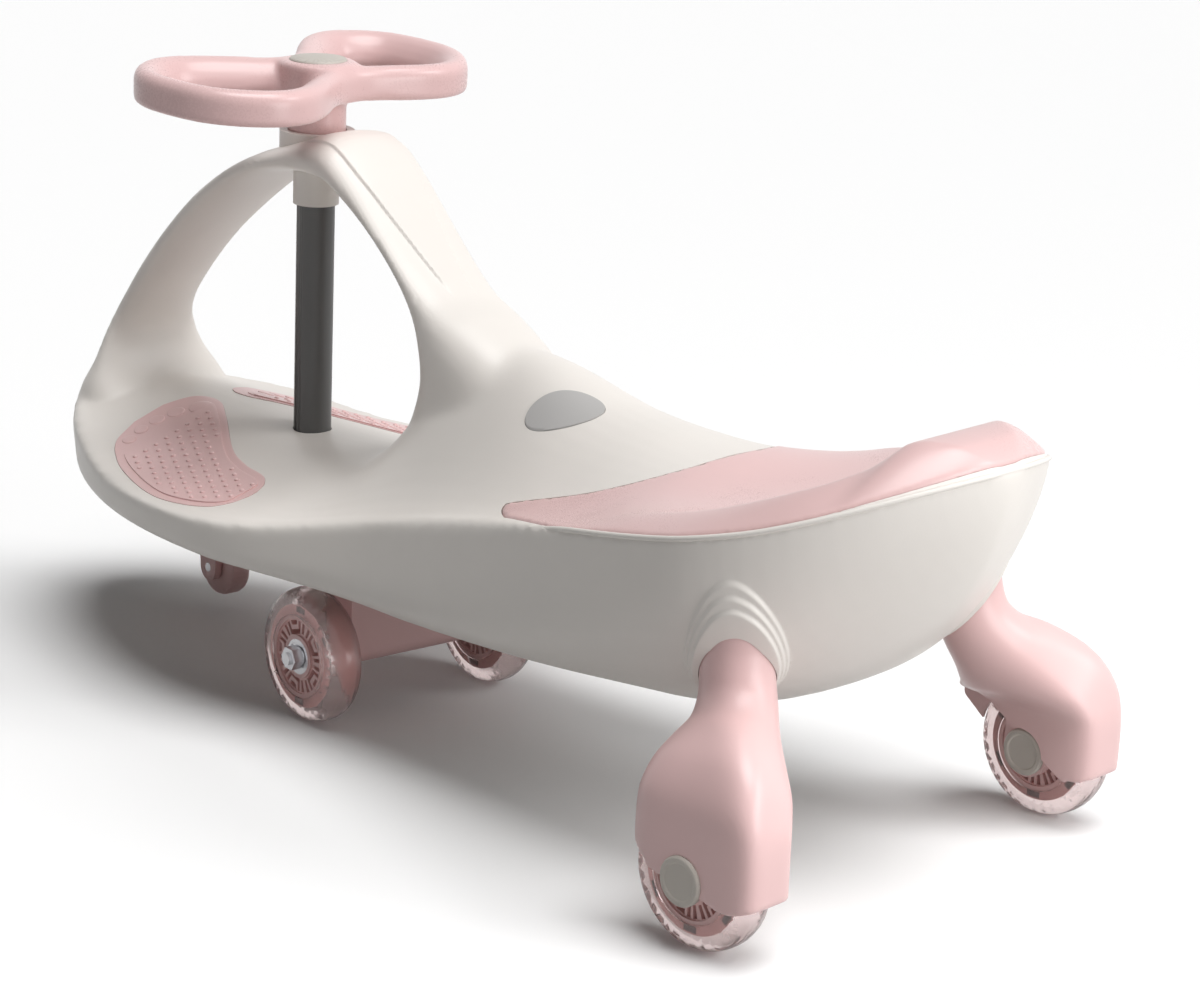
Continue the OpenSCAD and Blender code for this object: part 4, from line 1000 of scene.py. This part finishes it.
for end in ("front", "rear"):
    for side in ("left", "right"):
        body = end + "_wheel_" + side
        node = end + "_tyre_" + side
        dress(own_copy(node, node + "_cast"), clear_tyre, body, "clear_tyre", node)
        node = end + "_core_" + side
        dress(own_copy(node, node + "_ribbed", 0.3), pink_core, body, "pink_core", node)

# Bearings, light modules, magnets and fasteners are shown as the CAD gives them
plain_finishes = [
    ("bearings", bearing_steel), ("leds", light_module), ("magnet", magnet), ("axle", zinc_steel),
    ("bolt", zinc_steel), ("pin", zinc_steel), ("screws", zinc_steel)]
for node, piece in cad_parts.items():
    for word, finish in plain_finishes:
        if word in node:
            piece.data.materials.clear()
            piece.data.materials.append(finish)


# Floor and light
# A wide pale floor under two broad far lamps, one overhead and one from the rear right, with a
# softbox low behind the tail. Floor and sky look pale but throw little light on the car.
bpy.ops.object.select_all(action="DESELECT")
bpy.ops.mesh.primitive_plane_add(size=30, location=(0, 0, 0))
floor = bpy.context.object
floor.name = "floor"


def pale_when_seen(tree, socket, unseen):
    """Feeds a socket with 1 for rays that show a place and a lower value for its light."""
    rays = tree.nodes.new("ShaderNodeLightPath")
    seen = add_node(tree, "ShaderNodeMath", operation="MAXIMUM")
    mirrored_too = add_node(tree, "ShaderNodeMath", operation="MAXIMUM")
    tone = add_node(tree, "ShaderNodeMapRange", To_Min=unseen, To_Max=1.0)
    tree.links.new(rays.outputs["Is Camera Ray"], seen.inputs[0])
    tree.links.new(rays.outputs["Is Transmission Ray"], seen.inputs[1])
    tree.links.new(seen.outputs[0], mirrored_too.inputs[0])
    tree.links.new(rays.outputs["Is Glossy Ray"], mirrored_too.inputs[1])
    tree.links.new(mirrored_too.outputs[0], tone.inputs["Value"])
    tree.links.new(tone.outputs["Result"], socket)


pale_floor = bpy.data.materials.new("pale_floor")
pale_floor.use_nodes = True
floor_shader = pale_floor.node_tree.nodes["Principled BSDF"]
floor_shader.inputs["Roughness"].default_value = 0.9
floor_shader.inputs["Specular IOR Level"].default_value = 0.1
pale_when_seen(pale_floor.node_tree, floor_shader.inputs["Base Color"], 0.45)
floor.data.materials.append(pale_floor)


def softbox(name, spot, target, size, power):
    lamp_data = bpy.data.lights.new(name, "AREA")
    lamp_data.shape = "SQUARE"
    lamp_data.size = size
    lamp_data.energy = power
    lamp = bpy.data.objects.new(name, lamp_data)
    bpy.context.collection.objects.link(lamp)
    lamp.location = spot
    lamp.rotation_euler = (Vector(target) - Vector(spot)).to_track_quat("-Z", "Y").to_euler()


def far_lamp(name, direction, strength, degrees):
    lamp_data = bpy.data.lights.new(name, "SUN")
    lamp_data.energy = strength
    lamp_data.angle = math.radians(degrees)
    lamp = bpy.data.objects.new(name, lamp_data)
    bpy.context.collection.objects.link(lamp)
    lamp.rotation_euler = Vector(direction).to_track_quat("-Z", "Y").to_euler()


far_lamp("overhead", (0.25, 0.05, -1), 2.35, 40)
far_lamp("rear_right", (0.72, 0.5, -0.62), 0.8, 25)
softbox("behind", (-1.3, -0.1, 0.4), (-0.33, 0.02, 0.15), 0.6, 5.4)
world = bpy.context.scene.world or bpy.data.worlds.new("world")
bpy.context.scene.world = world
world.use_nodes = True
sky = world.node_tree.nodes["Background"]
sky.inputs["Color"].default_value = (1, 1, 1, 1)
pale_when_seen(world.node_tree, sky.inputs["Strength"], 0.10)

bpy.context.view_layer.update()
